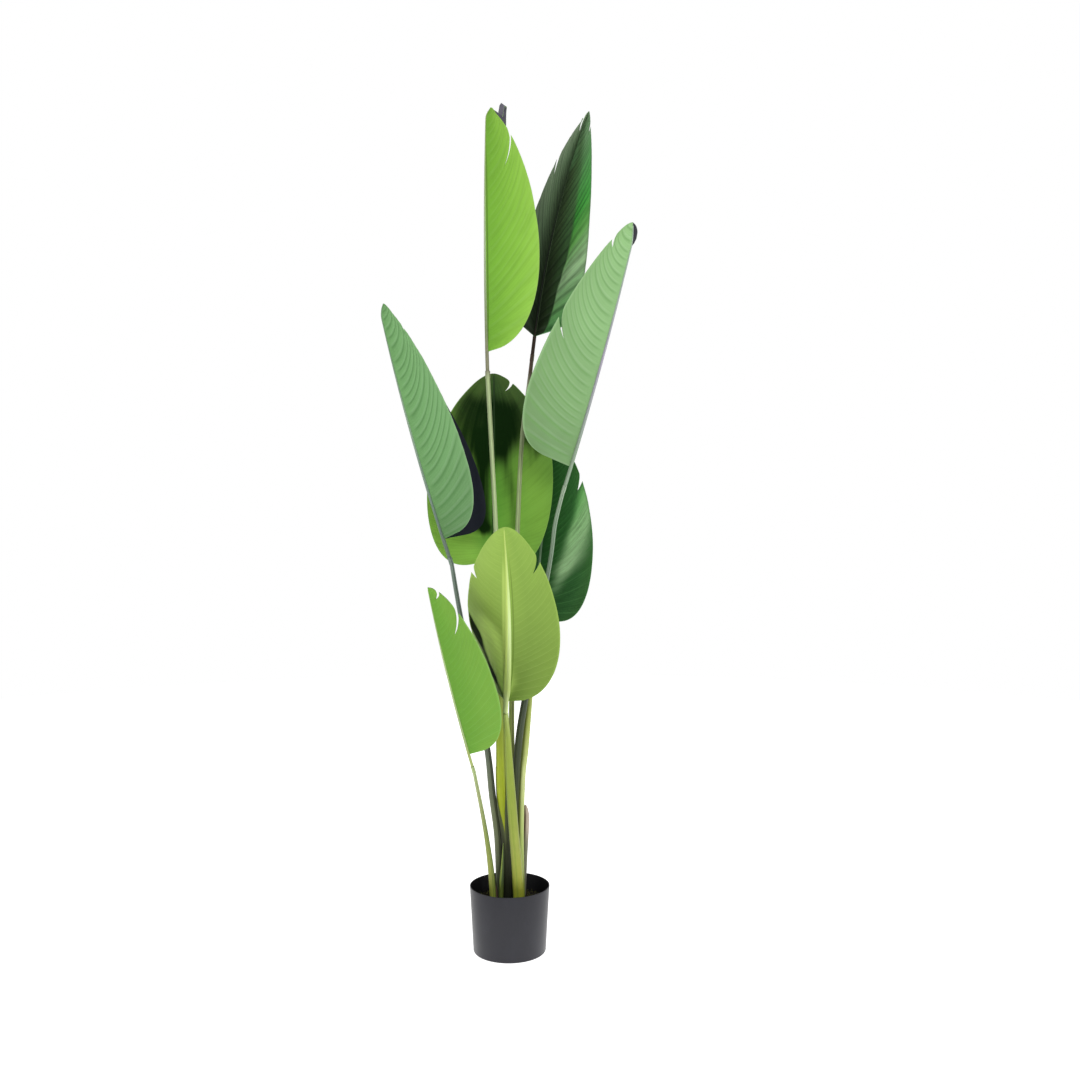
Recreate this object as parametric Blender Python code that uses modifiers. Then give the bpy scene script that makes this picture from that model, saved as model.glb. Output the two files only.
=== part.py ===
# Potted plant with eight large leaves on long stalks, in metres, +Z up.
# The origin is the centre of the pot's flat underside, and the front of the plant is -Y.
# Each leaf is a folded blade with split edges, fused to a midrib whose lower end plugs into its stalk.
import math

import bmesh
import bpy
from mathutils import Matrix, Vector

# Pot, a plain tapered nursery pot
POT_HEIGHT = 0.122
RIM_RADIUS = 0.075
BASE_RADIUS = 0.068
POT_WALL = 0.0018
POT_FLOOR = 0.003
RIM_ROUNDING = 0.0004
BASE_CHAMFER = 0.002
POT_SIDES = 40

# Filling that carries the stalks
SOIL_TOP = 0.090
SOIL_CROWN = 0.004
HOLE_BOTTOM = 0.030
HOLE_TOP = 0.110
HOLE_SIDES = 16

# Fits and tubes
GAP = 0.0003
TUBE_SIDES = 8
PATH_STEPS = 12

# Blades
BLADE_THICKNESS = 0.0008
ROWS = 22
COLUMNS = 8
COLUMN_POWER = 1.3
END_CROWDING = 0.085
PLEAT_HEIGHT = 0.0011
PLEAT_START = 0.25
PLEAT_FADE = 0.5
VEIN_LEAN = 0.08
VEIN_LEAN_RISE = 0.16
VEIN_POWER = 1.4
SLIT_TUCK = 0.04
TWIST_CENTER = 0.4
CLOSE_START = 0.72
CROWN_PLACE = 0.885
CROWN_SPAN = 0.035

# Midribs, necks and plugs, by size of leaf
LARGE = {"rib": 0.0036, "rib_tip": 0.0010, "neck": 0.036, "plug": 0.0022, "collar": 0.0046}
SMALL = {"rib": 0.0028, "rib_tip": 0.0008, "neck": 0.024, "plug": 0.0016, "collar": 0.0034}
RIB_STEPS = 8
RIB_END = 0.975
PLUG_LENGTH = 0.012
COLLAR_LENGTH = 0.014

# Leaves. base and tip are the ends of the midrib, and bow is how far its middle stands off a straight line.
# face is the bearing of the upper side, 0 along +X and 270 along -Y, and twist turns it along the leaf.
# fold and curl give each half's rise in degrees at the midrib and what it gains by the margin, and
# close is what the fold gains at the tip.
# half_width is each half's widest reach, outline holds the powers that round its base and its tip, and
# lobe is how far its base hangs below the foot of the midrib. crown, if given, lifts a flap near the tip.
# Of two halves the first lies on the right when the tip is up and the upper side faces the eye.
# slits lists the half (1 or -1), the row share, how far out the slit starts, and half its opening.
LEAVES = {
    "a": {
        "size": LARGE, "base": (-0.0418, -0.020, 1.1217), "tip": (-0.0450, 0.010, 1.5900),
        "bow": (-0.0030, -0.004, 0.0), "face": 3, "twist": 1, "fold": (14, 53), "curl": (4, 4),
        "close": (24, 0), "half_width": (0.0980, 0.1200), "outline": ((0.50, 0.24), (0.39, 0.72)),
        "lobe": (0.0, -0.005), "crown": (0.051, 0.0),
        "slits": ((-1, 0.71, 0.45, 0.011), (1, 0.72, 0.25, 0.026), (-1, 0.90, 0.50, 0.006)),
    },
    "b": {
        "size": LARGE, "base": (0.0463, 0.090, 1.1715), "tip": (0.1545, 0.170, 1.6413),
        "bow": (-0.0130, -0.010, 0.0012), "face": 280, "twist": 5, "fold": (68, 60), "curl": (-26, 0),
        "close": (0, 0), "half_width": (0.1150, 0.1200), "outline": ((0.20, 0.80), (0.20, 0.84)),
        "lobe": (0.010, 0.010),
        "slits": ((-1, 0.72, 0.55, 0.008), (1, 0.88, 0.45, 0.006), (-1, 0.90, 0.45, 0.008)),
    },
    "c": {
        "size": LARGE, "base": (0.1141, -0.030, 0.9065), "tip": (0.2338, -0.070, 1.3500),
        "bow": (0.0035, 0.0, -0.0037), "face": 159, "twist": 5, "fold": (55, 56), "curl": (0, 0),
        "close": (0, -50), "half_width": (0.1204, 0.1150), "outline": ((0.23, 0.65), (0.30, 0.60)),
        "lobe": (-0.009, 0.0),
        "slits": ((1, 0.82, 0.55, 0.008), (1, 0.41, 0.75, 0.006), (-1, 0.84, 0.30, 0.010)),
    },
    "d": {
        "size": LARGE, "base": (-0.1221, -0.030, 0.7725), "tip": (-0.2340, -0.090, 1.1990),
        "bow": (-0.0070, 0.0, 0.0043), "face": -5, "twist": 1, "fold": (55, 59), "curl": (0, 0),
        "close": (0, 0), "half_width": (0.1185, 0.1190), "outline": ((0.24, 1.15), (0.28, 0.74)),
        "lobe": (0.020, -0.014),
        "slits": ((-1, 0.80, 0.75, 0.003), (1, 0.60, 0.60, 0.008)),
    },
    "e": {
        "size": LARGE, "base": (-0.0352, 0.060, 0.7361), "tip": (-0.0420, 0.270, 1.1200),
        "bow": (0.0038, -0.045, -0.0047), "face": 267, "twist": 18, "fold": (14, 6), "curl": (9, 4),
        "close": (0, 0), "half_width": (0.1257, 0.1310), "outline": ((0.37, 0.70), (0.37, 0.68)),
        "lobe": (0.053, 0.053),
        "slits": ((1, 0.86, 0.45, 0.008),),
    },
    "f": {
        "size": SMALL, "base": (-0.0051, -0.050, 0.4753), "tip": (-0.0060, -0.150, 0.7930),
        "bow": (0.0050, 0.012, -0.0058), "face": 81, "twist": 60, "fold": (18, 4), "curl": (24, 4),
        "close": (0, 0), "half_width": (0.0943, 0.0943), "outline": ((0.34, 0.63), (0.34, 0.63)),
        "lobe": (-0.018, -0.018),
        "slits": ((-1, 0.68, 0.72, 0.009), (1, 0.62, 0.80, 0.007)),
    },
    "g": {
        "size": SMALL, "base": (-0.0736, -0.050, 0.3773), "tip": (-0.1440, -0.100, 0.6860),
        "bow": (-0.0036, 0.0, 0.0005), "face": 2, "twist": -2, "fold": (60, 66), "curl": (0, 0),
        "close": (0, 0), "half_width": (0.0800, 0.0910), "outline": ((0.32, 0.63), (0.30, 0.63)),
        "lobe": (0.0, -0.008),
        "slits": ((-1, 0.72, 0.50, 0.008), (-1, 0.88, 0.45, 0.009), (1, 0.70, 0.35, 0.016)),
    },
    "h": {
        "size": LARGE, "base": (0.0480, 0.085, 0.6200), "tip": (0.0870, 0.200, 0.9800),
        "bow": (-0.0040, -0.015, 0.0), "face": 265, "twist": 0, "fold": (18, 10), "curl": (8, 4),
        "close": (0, 0), "half_width": (0.1145, 0.0850), "outline": ((0.30, 0.70), (0.32, 0.72)),
        "lobe": (0.027, 0.027),
        "slits": ((1, 0.66, 0.72, 0.008), (-1, 0.60, 0.70, 0.005)),
    },
}

# Stalks. foot is where the stalk stands in the filling.
# route lists (x, y, z, radius) above it, from the bottom up.
STALKS = {
    "a": {"foot": (-0.0050, -0.002), "foot_radius": 0.0078, "route": (
        (-0.0062, -0.002, 0.205, 0.0084), (-0.0140, -0.004, 0.285, 0.0094),
        (-0.0165, -0.004, 0.390, 0.0078),
        (-0.0190, -0.004, 0.560, 0.0054), (-0.0245, -0.008, 0.760, 0.0044),
        (-0.0331, -0.015, 0.930, 0.0042))},
    "b": {"foot": (0.0030, 0.031), "foot_radius": 0.0062, "route": (
        (0.0040, 0.031, 0.280, 0.0058), (0.0030, 0.024, 0.460, 0.0052), (0.0110, 0.006, 0.640, 0.0046),
        (0.0136, 0.004, 0.760, 0.0044), (0.0189, 0.020, 0.900, 0.0043), (0.0247, 0.050, 0.991, 0.0042),
        (0.0336, 0.070, 1.060, 0.0042))},
    "c": {"foot": (0.0062, 0.013), "foot_radius": 0.0072, "route": (
        (0.0075, 0.012, 0.280, 0.0070), (0.0150, 0.006, 0.375, 0.0066), (0.0280, 0.000, 0.470, 0.0062),
        (0.0740, -0.018, 0.720, 0.0048), (0.0850, -0.023, 0.800, 0.0044))},
    "d": {"foot": (-0.0195, 0.007), "foot_radius": 0.0064, "route": (
        (-0.0240, 0.006, 0.205, 0.0064), (-0.0340, 0.003, 0.290, 0.0062), (-0.0420, 0.000, 0.375, 0.0058),
        (-0.0620, -0.004, 0.490, 0.0050), (-0.0900, -0.012, 0.620, 0.0044))},
    "e": {"foot": (-0.0120, 0.027), "foot_radius": 0.0058, "route": (
        (-0.0125, 0.030, 0.280, 0.0054), (-0.0180, 0.036, 0.460, 0.0050), (-0.0270, 0.046, 0.600, 0.0046))},
    "f": {"foot": (0.0180, -0.026), "foot_radius": 0.0102, "route": (
        (0.0140, -0.027, 0.165, 0.0100), (0.0085, -0.029, 0.230, 0.0092), (0.0025, -0.032, 0.300, 0.0082),
        (-0.0020, -0.038, 0.395, 0.0062))},
    "g": {"foot": (-0.0300, -0.020), "foot_radius": 0.0060, "route": (
        (-0.0350, -0.021, 0.150, 0.0054), (-0.0405, -0.024, 0.205, 0.0046),
        (-0.0500, -0.031, 0.265, 0.0038))},
    "h": {"foot": (0.0222, 0.009), "foot_radius": 0.0062, "route": (
        (0.0225, 0.009, 0.220, 0.0060), (0.0240, 0.014, 0.320, 0.0056), (0.0330, 0.028, 0.420, 0.0050),
        (0.0410, 0.050, 0.510, 0.0046))},
}

# Short sheath stubs among the stalks: foot, foot radius and route as for a stalk.
SHEATHS = {
    "sheath_brown": {"foot": (0.0255, 0.0255), "foot_radius": 0.0044, "route": (
        (0.0300, 0.0270, 0.165, 0.0050), (0.0345, 0.0285, 0.220, 0.0050), (0.0350, 0.0290, 0.246, 0.0042),
        (0.0345, 0.0290, 0.256, 0.0026), (0.0340, 0.0290, 0.260, 0.0010))},
    "sheath_green": {"foot": (-0.0160, -0.0175), "foot_radius": 0.0042, "route": (
        (-0.0150, -0.0165, 0.130, 0.0042), (-0.0130, -0.0150, 0.165, 0.0028),
        (-0.0115, -0.0140, 0.204, 0.0005))},
    "sheath_dark": {"foot": (-0.0245, -0.0060), "foot_radius": 0.0032, "route": (
        (-0.0275, -0.0060, 0.125, 0.0030), (-0.0330, -0.0080, 0.150, 0.0020),
        (-0.0365, -0.0100, 0.176, 0.0004))},
}

COLORS = {
    "pot": (0.062, 0.063, 0.074), "soil": (0.030, 0.026, 0.018),
    "leaf_a": (0.26, 0.54, 0.07), "leaf_b": (0.04, 0.09, 0.04), "leaf_c": (0.29, 0.50, 0.22),
    "leaf_d": (0.17, 0.36, 0.13), "leaf_e": (0.12, 0.30, 0.03), "leaf_f": (0.29, 0.46, 0.09),
    "leaf_g": (0.19, 0.42, 0.07), "leaf_h": (0.02, 0.11, 0.02),
    "stem_a": (0.40, 0.49, 0.07), "stem_b": (0.40, 0.54, 0.27), "stem_c": (0.20, 0.26, 0.18),
    "stem_d": (0.09, 0.11, 0.07), "stem_e": (0.30, 0.40, 0.15), "stem_f": (0.33, 0.42, 0.08),
    "stem_g": (0.28, 0.38, 0.09), "stem_h": (0.38, 0.47, 0.13),
    "sheath_brown": (0.27, 0.20, 0.15), "sheath_green": (0.14, 0.22, 0.06),
    "sheath_dark": (0.03, 0.04, 0.02),
}
LEAF_ROUGHNESS = 0.42
STEM_ROUGHNESS = 0.5
POT_ROUGHNESS = 0.55
SOIL_ROUGHNESS = 0.95


def clear_scene():
    for item in list(bpy.data.objects):
        bpy.data.objects.remove(item)


def make_collection(name):
    collection = bpy.data.collections.new(name)
    bpy.context.scene.collection.children.link(collection)
    return collection


def make_material(name, roughness):
    material = bpy.data.materials.new(name)
    material.use_nodes = True
    shader = material.node_tree.nodes["Principled BSDF"]
    shader.inputs["Base Color"].default_value = (*COLORS[name], 1.0)
    shader.inputs["Roughness"].default_value = roughness
    shader.inputs["Metallic"].default_value = 0.0
    return material


def add_object(name, mesh, collection, roughness):
    item = bpy.data.objects.new(name, mesh)
    mesh.materials.clear()
    mesh.materials.append(make_material(name, roughness))
    collection.objects.link(item)
    return item


def add_cutter(name, mesh, collection):
    item = bpy.data.objects.new(name, mesh)
    item.hide_render = True
    item.display_type = "WIRE"
    collection.objects.link(item)
    return item


def add_boolean(item, cutter, operation):
    modifier = item.modifiers.new(f"{operation.lower()} {cutter.name}", "BOOLEAN")
    modifier.operation = operation
    modifier.solver = "EXACT"
    modifier.object = cutter


def turned(name, profile, collection, roughness):
    """A closed turned solid from a profile of (radius, height) that starts and ends on the axis."""
    mesh = bpy.data.meshes.new(name)
    points = [(radius, 0.0, height) for radius, height in profile]
    mesh.from_pydata(points, [(i, i + 1) for i in range(len(points) - 1)], [])
    item = add_object(name, mesh, collection, roughness)
    screw = item.modifiers.new("turn", "SCREW")
    screw.steps = POT_SIDES
    screw.render_steps = POT_SIDES
    screw.use_merge_vertices = True
    screw.merge_threshold = 0.00005
    screw.use_smooth_shade = True
    return item


def wall_radius(height):
    """Outer radius of the pot at a height."""
    return BASE_RADIUS + (RIM_RADIUS - BASE_RADIUS) * height / POT_HEIGHT


def make_pot(collection):
    rim_low = POT_HEIGHT - RIM_ROUNDING
    profile = [
        (0.0, POT_FLOOR),
        (wall_radius(POT_FLOOR) - POT_WALL, POT_FLOOR),
        (wall_radius(rim_low) - POT_WALL, rim_low),
        (RIM_RADIUS - POT_WALL + RIM_ROUNDING, POT_HEIGHT),
        (RIM_RADIUS - RIM_ROUNDING, POT_HEIGHT),
        (wall_radius(rim_low), rim_low),
        (wall_radius(BASE_CHAMFER), BASE_CHAMFER),
        (BASE_RADIUS - BASE_CHAMFER, 0.0),
        (0.0, 0.0),
    ]
    return turned("pot", profile, collection, POT_ROUGHNESS)


def make_soil(collection, cutters):
    bottom = POT_FLOOR + GAP
    inset = POT_WALL + 2 * GAP
    edge = wall_radius(SOIL_TOP) - inset
    profile = [
        (0.0, SOIL_TOP + SOIL_CROWN),
        (edge * 0.45, SOIL_TOP + SOIL_CROWN * 0.85),
        (edge * 0.8, SOIL_TOP + SOIL_CROWN * 0.35),
        (edge, SOIL_TOP),
        (wall_radius(bottom) - inset, bottom),
        (0.0, bottom),
    ]
    soil = turned("soil", profile, collection, SOIL_ROUGHNESS)
    for name, standing in {**STALKS, **SHEATHS}.items():
        radius = (standing["foot_radius"] + GAP) / math.cos(math.pi / HOLE_SIDES)
        bm = bmesh.new()
        middle = Matrix.Translation((*standing["foot"], (HOLE_BOTTOM + HOLE_TOP) / 2))
        bmesh.ops.create_cone(
            bm, cap_ends=True, segments=HOLE_SIDES, radius1=radius, radius2=radius,
            depth=HOLE_TOP - HOLE_BOTTOM, matrix=middle)
        mesh = bpy.data.meshes.new(f"hole_{name}")
        bm.to_mesh(mesh)
        bm.free()
        add_boolean(soil, add_cutter(f"hole_{name}", mesh, cutters), "DIFFERENCE")
    return soil


def smooth_path(points, steps):
    """Points (x, y, z, radius) evenly spread on a smooth curve through the given ones."""
    padded = [points[0]] + list(points) + [points[-1]]
    result = []
    spans = len(points) - 1
    for k in range(steps + 1):
        place = k / steps * spans
        i = min(int(place), spans - 1)
        t = place - i
        p0, p1, p2, p3 = padded[i:i + 4]
        result.append([
            b + (c - a) / 2 * t + (a - 2.5 * b + 2 * c - d / 2) * t ** 2
            + (1.5 * (b - c) + (d - a) / 2) * t ** 3
            for a, b, c, d in zip(p0, p1, p2, p3)])
    return result


def tube_mesh(name, points):
    """A closed tube along points (x, y, z, radius), made as a bevelled curve and turned into a mesh."""
    curve = bpy.data.curves.new(name, "CURVE")
    curve.dimensions = "3D"
    curve.bevel_depth = 1.0
    curve.bevel_resolution = TUBE_SIDES // 2 - 2
    curve.use_fill_caps = True
    spline = curve.splines.new("POLY")
    spline.points.add(len(points) - 1)
    for point, (x, y, z, radius) in zip(spline.points, points):
        point.co = (x, y, z, 1.0)
        point.radius = radius
    guide = bpy.data.objects.new(name, curve)
    bpy.context.scene.collection.objects.link(guide)
    depsgraph = bpy.context.evaluated_depsgraph_get()
    mesh = bpy.data.meshes.new_from_object(guide.evaluated_get(depsgraph))
    bpy.data.objects.remove(guide)
    bm = bmesh.new()
    bm.from_mesh(mesh)
    bmesh.ops.remove_doubles(bm, verts=bm.verts, dist=0.00001)
    bmesh.ops.recalc_face_normals(bm, faces=bm.faces)
    bm.to_mesh(mesh)
    bm.free()
    mesh.name = name
    mesh.shade_smooth()
    mesh.set_sharp_from_angle(angle=math.radians(50))
    return mesh


def midrib(leaf, s):
    """Point and direction of the midrib at a station, 0 at the blade's base and 1 at its tip."""
    base, tip, bow = Vector(leaf["base"]), Vector(leaf["tip"]), Vector(leaf["bow"])
    point = base + (tip - base) * s + bow * (4 * s * (1 - s))
    return point, ((tip - base) + bow * (4 - 8 * s)).normalized()


def half_width(outline, s):
    """Share of the widest reach at a station, 1 where the blade is widest."""
    low, high = outline
    peak = low / (low + high)
    return s ** low * (1 - s) ** high / (peak ** low * (1 - peak) ** high)


def blade_point(leaf, row, across, side):
    """A point of the blade and its upper normal.

    row is where its vein leaves the midrib, and across runs from 0 there to 1 at the margin.
    """
    half = 0 if side > 0 else 1
    lean = VEIN_LEAN + VEIN_LEAN_RISE * row
    s = min(max(row + lean * 4 * row * (1 - row) * across ** VEIN_POWER, 0.0), 1.0)
    point, along = midrib(leaf, s)
    bearing = math.radians(leaf["face"] + leaf["twist"] * (s - TWIST_CENTER))
    face = Vector((math.cos(bearing), math.sin(bearing), 0.0))
    upper = (face - along * face.dot(along)).normalized()
    outward = along.cross(upper) * side
    share = half_width(leaf["outline"][half], s)
    reach = leaf["half_width"][half] * share
    closing = max(0.0, (s - CLOSE_START) / (1 - CLOSE_START)) ** 2
    rise = math.radians(leaf["fold"][half] + leaf["close"][half] * closing)
    curl = math.radians(leaf["curl"][half]) or 0.0001
    bent = rise + curl * across
    point = point + outward * (reach * (math.sin(bent) - math.sin(rise)) / curl)
    point = point + upper * (reach * (math.cos(rise) - math.cos(bent)) / curl)
    point = point - along * (leaf["lobe"][half] * share * (1 - row) ** 4 * across)
    lifted = math.exp(-((row - CROWN_PLACE) / CROWN_SPAN) ** 2) * across ** 2
    point = point + along * (leaf.get("crown", (0.0, 0.0))[half] * lifted)
    return point, upper * math.cos(bent) - outward * math.sin(bent)


def row_place(share):
    """Rows crowd a little towards both ends of the blade."""
    return share - END_CROWDING * math.sin(2 * math.pi * share)


def make_blade(name, leaf):
    """The open blade, a flat grid split along its slits and laid on the folded leaf with its pleats."""
    bm = bmesh.new()
    bmesh.ops.create_grid(bm, x_segments=COLUMNS, y_segments=ROWS, size=1.0)
    openings = {}
    half_columns = COLUMNS // 2
    for side, place, start, opening in leaf["slits"]:
        row = min(range(1, ROWS), key=lambda k: abs(row_place(k / ROWS) - place))
        column = min(round(start ** (1 / COLUMN_POWER) * half_columns), half_columns - 1)
        level = 2 * row / ROWS - 1
        inner = column / half_columns
        slit = [
            edge for edge in bm.edges
            if all(abs(v.co.y - level) < 0.001 and v.co.x * side > inner - 0.001 for v in edge.verts)]
        bmesh.ops.split_edges(bm, edges=slit)
        openings[(side, row)] = (inner ** COLUMN_POWER, opening)
    places = []
    for v in bm.verts:
        side = 1 if v.co.x >= 0 else -1
        row = round((v.co.y + 1) / 2 * ROWS)
        across = abs(v.co.x) ** COLUMN_POWER
        place = min(max(row_place(row / ROWS), 0.0), 1.0)
        spacing = 1 - END_CROWDING * 2 * math.pi * math.cos(2 * math.pi * row / ROWS)
        pleat = (-1) ** row * PLEAT_HEIGHT * min(1.0, spacing)
        pleat *= min(1.0, across / PLEAT_START) * (1 - PLEAT_FADE * across)
        inner, opening = openings.get((side, row), (1.0, 0.0))
        if across > inner + 0.001:
            middle = sum(face.calc_center_median().y for face in v.link_faces) / len(v.link_faces)
            share = (across - inner) / (1 - inner)
            place += math.copysign(opening * share, middle - v.co.y)
            across *= 1 - SLIT_TUCK * share
        if row in (0, ROWS):
            pleat = 0.0
        point, normal = blade_point(leaf, place, across, side)
        places.append(point + normal * pleat)
    for v, point in zip(bm.verts, places):
        v.co = point
    bmesh.ops.remove_doubles(bm, verts=bm.verts, dist=0.00002)
    bmesh.ops.dissolve_degenerate(bm, edges=bm.edges, dist=0.00002)
    mesh = bpy.data.meshes.new(name)
    bm.to_mesh(mesh)
    bm.free()
    mesh.shade_smooth()
    return mesh


def neck_end(leaf):
    """Where the bare neck below the blade meets the stalk, and the neck's direction."""
    base, along = midrib(leaf, 0.0)
    return base - along * leaf["size"]["neck"], along


def make_leaf(letter, leaf, collection, cutters):
    size = leaf["size"]
    item = add_object(f"leaf_{letter}", make_blade(f"leaf_{letter}", leaf), collection, LEAF_ROUGHNESS)
    triangulate = item.modifiers.new("triangles", "TRIANGULATE")
    triangulate.quad_method = "FIXED"
    solidify = item.modifiers.new("thickness", "SOLIDIFY")
    solidify.thickness = BLADE_THICKNESS
    solidify.offset = 0.0
    end, along = neck_end(leaf)
    plug_end = end - along * (PLUG_LENGTH - GAP)
    points = [(*plug_end, size["plug"]), (*(end + along * GAP), size["plug"]),
              (*(end + along * 2 * GAP), size["rib"] * 1.05)]
    for k in range(RIB_STEPS + 1):
        s = RIB_END * k / RIB_STEPS
        point, _ = midrib(leaf, s)
        points.append((*point, size["rib"] + (size["rib_tip"] - size["rib"]) * s ** 0.8))
    rib = add_cutter(f"rib_{letter}", tube_mesh(f"rib_{letter}", points), cutters)
    add_boolean(item, rib, "UNION")
    return item


def make_stalk(letter, stalk, leaf, collection, cutters):
    size = leaf["size"]
    end, along = neck_end(leaf)
    foot = (*stalk["foot"], HOLE_BOTTOM + GAP, stalk["foot_radius"])
    top = (*stalk["foot"], SOIL_TOP + SOIL_CROWN, stalk["foot_radius"])
    collar_low = end - along * COLLAR_LENGTH
    points = [foot] + smooth_path([top, *stalk["route"], (*collar_low, size["rib"] * 1.12)], PATH_STEPS)
    points.append((*(collar_low + along * GAP * 4), size["collar"]))
    points.append((*end, size["collar"]))
    name = f"stem_{letter}"
    item = add_object(name, tube_mesh(name, points), collection, STEM_ROUGHNESS)
    depth = PLUG_LENGTH + GAP
    radius = (size["plug"] + GAP) / math.cos(math.pi / HOLE_SIDES)
    turn = along.to_track_quat("Z", "Y").to_matrix().to_4x4()
    bm = bmesh.new()
    bmesh.ops.create_cone(
        bm, cap_ends=True, segments=HOLE_SIDES, radius1=radius, radius2=radius, depth=2 * depth,
        matrix=Matrix.Translation(end) @ turn)
    mesh = bpy.data.meshes.new(f"socket_{letter}")
    bm.to_mesh(mesh)
    bm.free()
    add_boolean(item, add_cutter(f"socket_{letter}", mesh, cutters), "DIFFERENCE")
    return item


def make_sheath(name, sheath, collection):
    foot = (*sheath["foot"], HOLE_BOTTOM + GAP, sheath["foot_radius"])
    top = (*sheath["foot"], SOIL_TOP + SOIL_CROWN, sheath["foot_radius"])
    points = [foot] + smooth_path([top, *sheath["route"]], PATH_STEPS // 2)
    return add_object(name, tube_mesh(name, points), collection, STEM_ROUGHNESS)


def main():
    clear_scene()
    plant = make_collection("potted_banana_plant")
    cutters = make_collection("cutters")
    make_pot(plant)
    make_soil(plant, cutters)
    for letter, leaf in LEAVES.items():
        make_stalk(letter, STALKS[letter], leaf, plant, cutters)
        make_leaf(letter, leaf, plant, cutters)
    for name, sheath in SHEATHS.items():
        make_sheath(name, sheath, plant)


main()
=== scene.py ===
import math
import random

import bpy
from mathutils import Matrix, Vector, noise


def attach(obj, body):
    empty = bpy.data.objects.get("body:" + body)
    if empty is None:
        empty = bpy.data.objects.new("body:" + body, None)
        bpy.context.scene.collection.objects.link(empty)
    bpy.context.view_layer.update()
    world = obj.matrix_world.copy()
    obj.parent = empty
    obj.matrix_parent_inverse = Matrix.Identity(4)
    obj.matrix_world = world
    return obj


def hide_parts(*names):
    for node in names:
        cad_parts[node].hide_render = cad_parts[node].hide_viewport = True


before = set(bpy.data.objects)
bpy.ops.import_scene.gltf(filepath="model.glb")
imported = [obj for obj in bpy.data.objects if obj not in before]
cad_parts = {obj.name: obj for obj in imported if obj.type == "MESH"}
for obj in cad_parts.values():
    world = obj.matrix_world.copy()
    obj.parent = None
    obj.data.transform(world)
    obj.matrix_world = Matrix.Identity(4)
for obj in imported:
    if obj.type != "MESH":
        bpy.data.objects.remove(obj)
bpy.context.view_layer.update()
random.seed(41)


def deselectAll():
    bpy.ops.object.select_all(action="DESELECT")


def pick(piece):
    deselectAll()
    piece.select_set(True)
    bpy.context.view_layer.objects.active = piece


def named(name):  # the object just added
    piece = bpy.context.object
    piece.name = piece.data.name = name
    return piece


def newGrid(name, columns, rows):  # from -1 to 1 in X and Y
    deselectAll()
    bpy.ops.mesh.primitive_grid_add(x_subdivisions=columns, y_subdivisions=rows, size=2)
    return named(name)


def openMesh():
    bpy.ops.object.mode_set(mode="EDIT")
    bpy.ops.mesh.select_all(action="SELECT")


def shutMesh(outward=False):
    if outward:
        bpy.ops.mesh.normals_make_consistent(inside=False)
    bpy.ops.object.mode_set(mode="OBJECT")


def markEdges(piece, test):  # opens the mesh with the edges selected whose two ends pass the test
    shutMesh()
    for edge in piece.data.edges:
        edge.select = test(*(piece.data.vertices[k].co for k in edge.vertices))
    bpy.ops.object.mode_set(mode="EDIT")
    bpy.ops.mesh.select_mode(type="EDGE")


def smoothed(degrees):
    bpy.ops.object.shade_smooth_by_angle(angle=math.radians(degrees))


def thicken(piece, thickness, **settings):
    pick(piece)
    solid = piece.modifiers.new("solidify", "SOLIDIFY")
    for name, value in {"thickness": thickness, "offset": 0.0, **settings}.items():
        setattr(solid, name, value)
    bpy.ops.object.modifier_apply(modifier=solid.name)


def tone(code):  # six hex digits as a linear colour
    parts = [int(code[i:i + 2], 16) / 255 for i in (0, 2, 4)]
    return tuple(c / 12.92 if c <= 0.04045 else ((c + 0.055) / 1.055) ** 2.4 for c in parts) + (1.0,)


# looks are built one at a time: these helpers add nodes to the tree in hand.
# every value may be a number, a colour or another node's socket
hand = {}


def addNode(kind, values=None, out=0, **options):
    node = hand["tree"].nodes.new("ShaderNode" + kind)
    for name, value in options.items():
        setattr(node, name, value)
    for name, value in (values or {}).items():
        if isinstance(value, bpy.types.NodeSocket):
            hand["tree"].links.new(value, node.inputs[name])
        else:
            node.inputs[name].default_value = value
    return node.outputs[out]


def sums(operation, a, b=0.0, c=0.0):
    return addNode("Math", {0: a, 1: b, 2: c}, operation=operation)


def times(a, b, plus=0.0):
    return sums("MULTIPLY_ADD", a, b, plus)


def apart(a, b):
    return sums("ABSOLUTE", sums("SUBTRACT", a, b))


def span(value, low, high, top=1.0):  # 0 at low, top at high
    return addNode("MapRange", {0: value, 1: low, 2: high, 4: top}, interpolation_type="SMOOTHSTEP")


def part(vector, axis):
    return addNode("SeparateXYZ", {0: vector}, axis)


def ramp(factor, stops, smooth=False):
    socket = addNode("ValToRGB", {0: factor})
    band = socket.node.color_ramp
    band.interpolation = "EASE" if smooth else "LINEAR"
    while len(band.elements) > 1:
        band.elements.remove(band.elements[-1])
    for k, (place, color) in enumerate(stops):
        stop = band.elements[0] if k == 0 else band.elements.new(place)
        stop.position = place
        stop.color = tone(color) if isinstance(color, str) else (color, color, color, 1.0)
    return socket


def mixed(factor, a, b, way="MIX"):
    return addNode("Mix", {0: factor, 6: a, 7: b}, 2, data_type="RGBA", blend_type=way)


def mottled(amount, color, pattern, dark, light, low=0.3):  # a pattern darkens and lightens the colour
    return mixed(amount, color, ramp(pattern, [(low, dark), (1 - low, light)]), "MULTIPLY")


def objectPlace():
    return addNode("TexCoord", out="Object")


def noisy(vector, scale, detail=3.0, rough=0.55):
    return addNode("TexNoise", {"Vector": vector, "Scale": scale, "Detail": detail, "Roughness": rough})


def fibres(around, along, detail=5.0, rough=0.55):  # lengthwise on a rolled piece
    place = addNode("Mapping", {"Vector": addNode("UVMap"), "Scale": (around, along, 1)})
    return noisy(place, 1.0, detail, rough)


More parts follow.
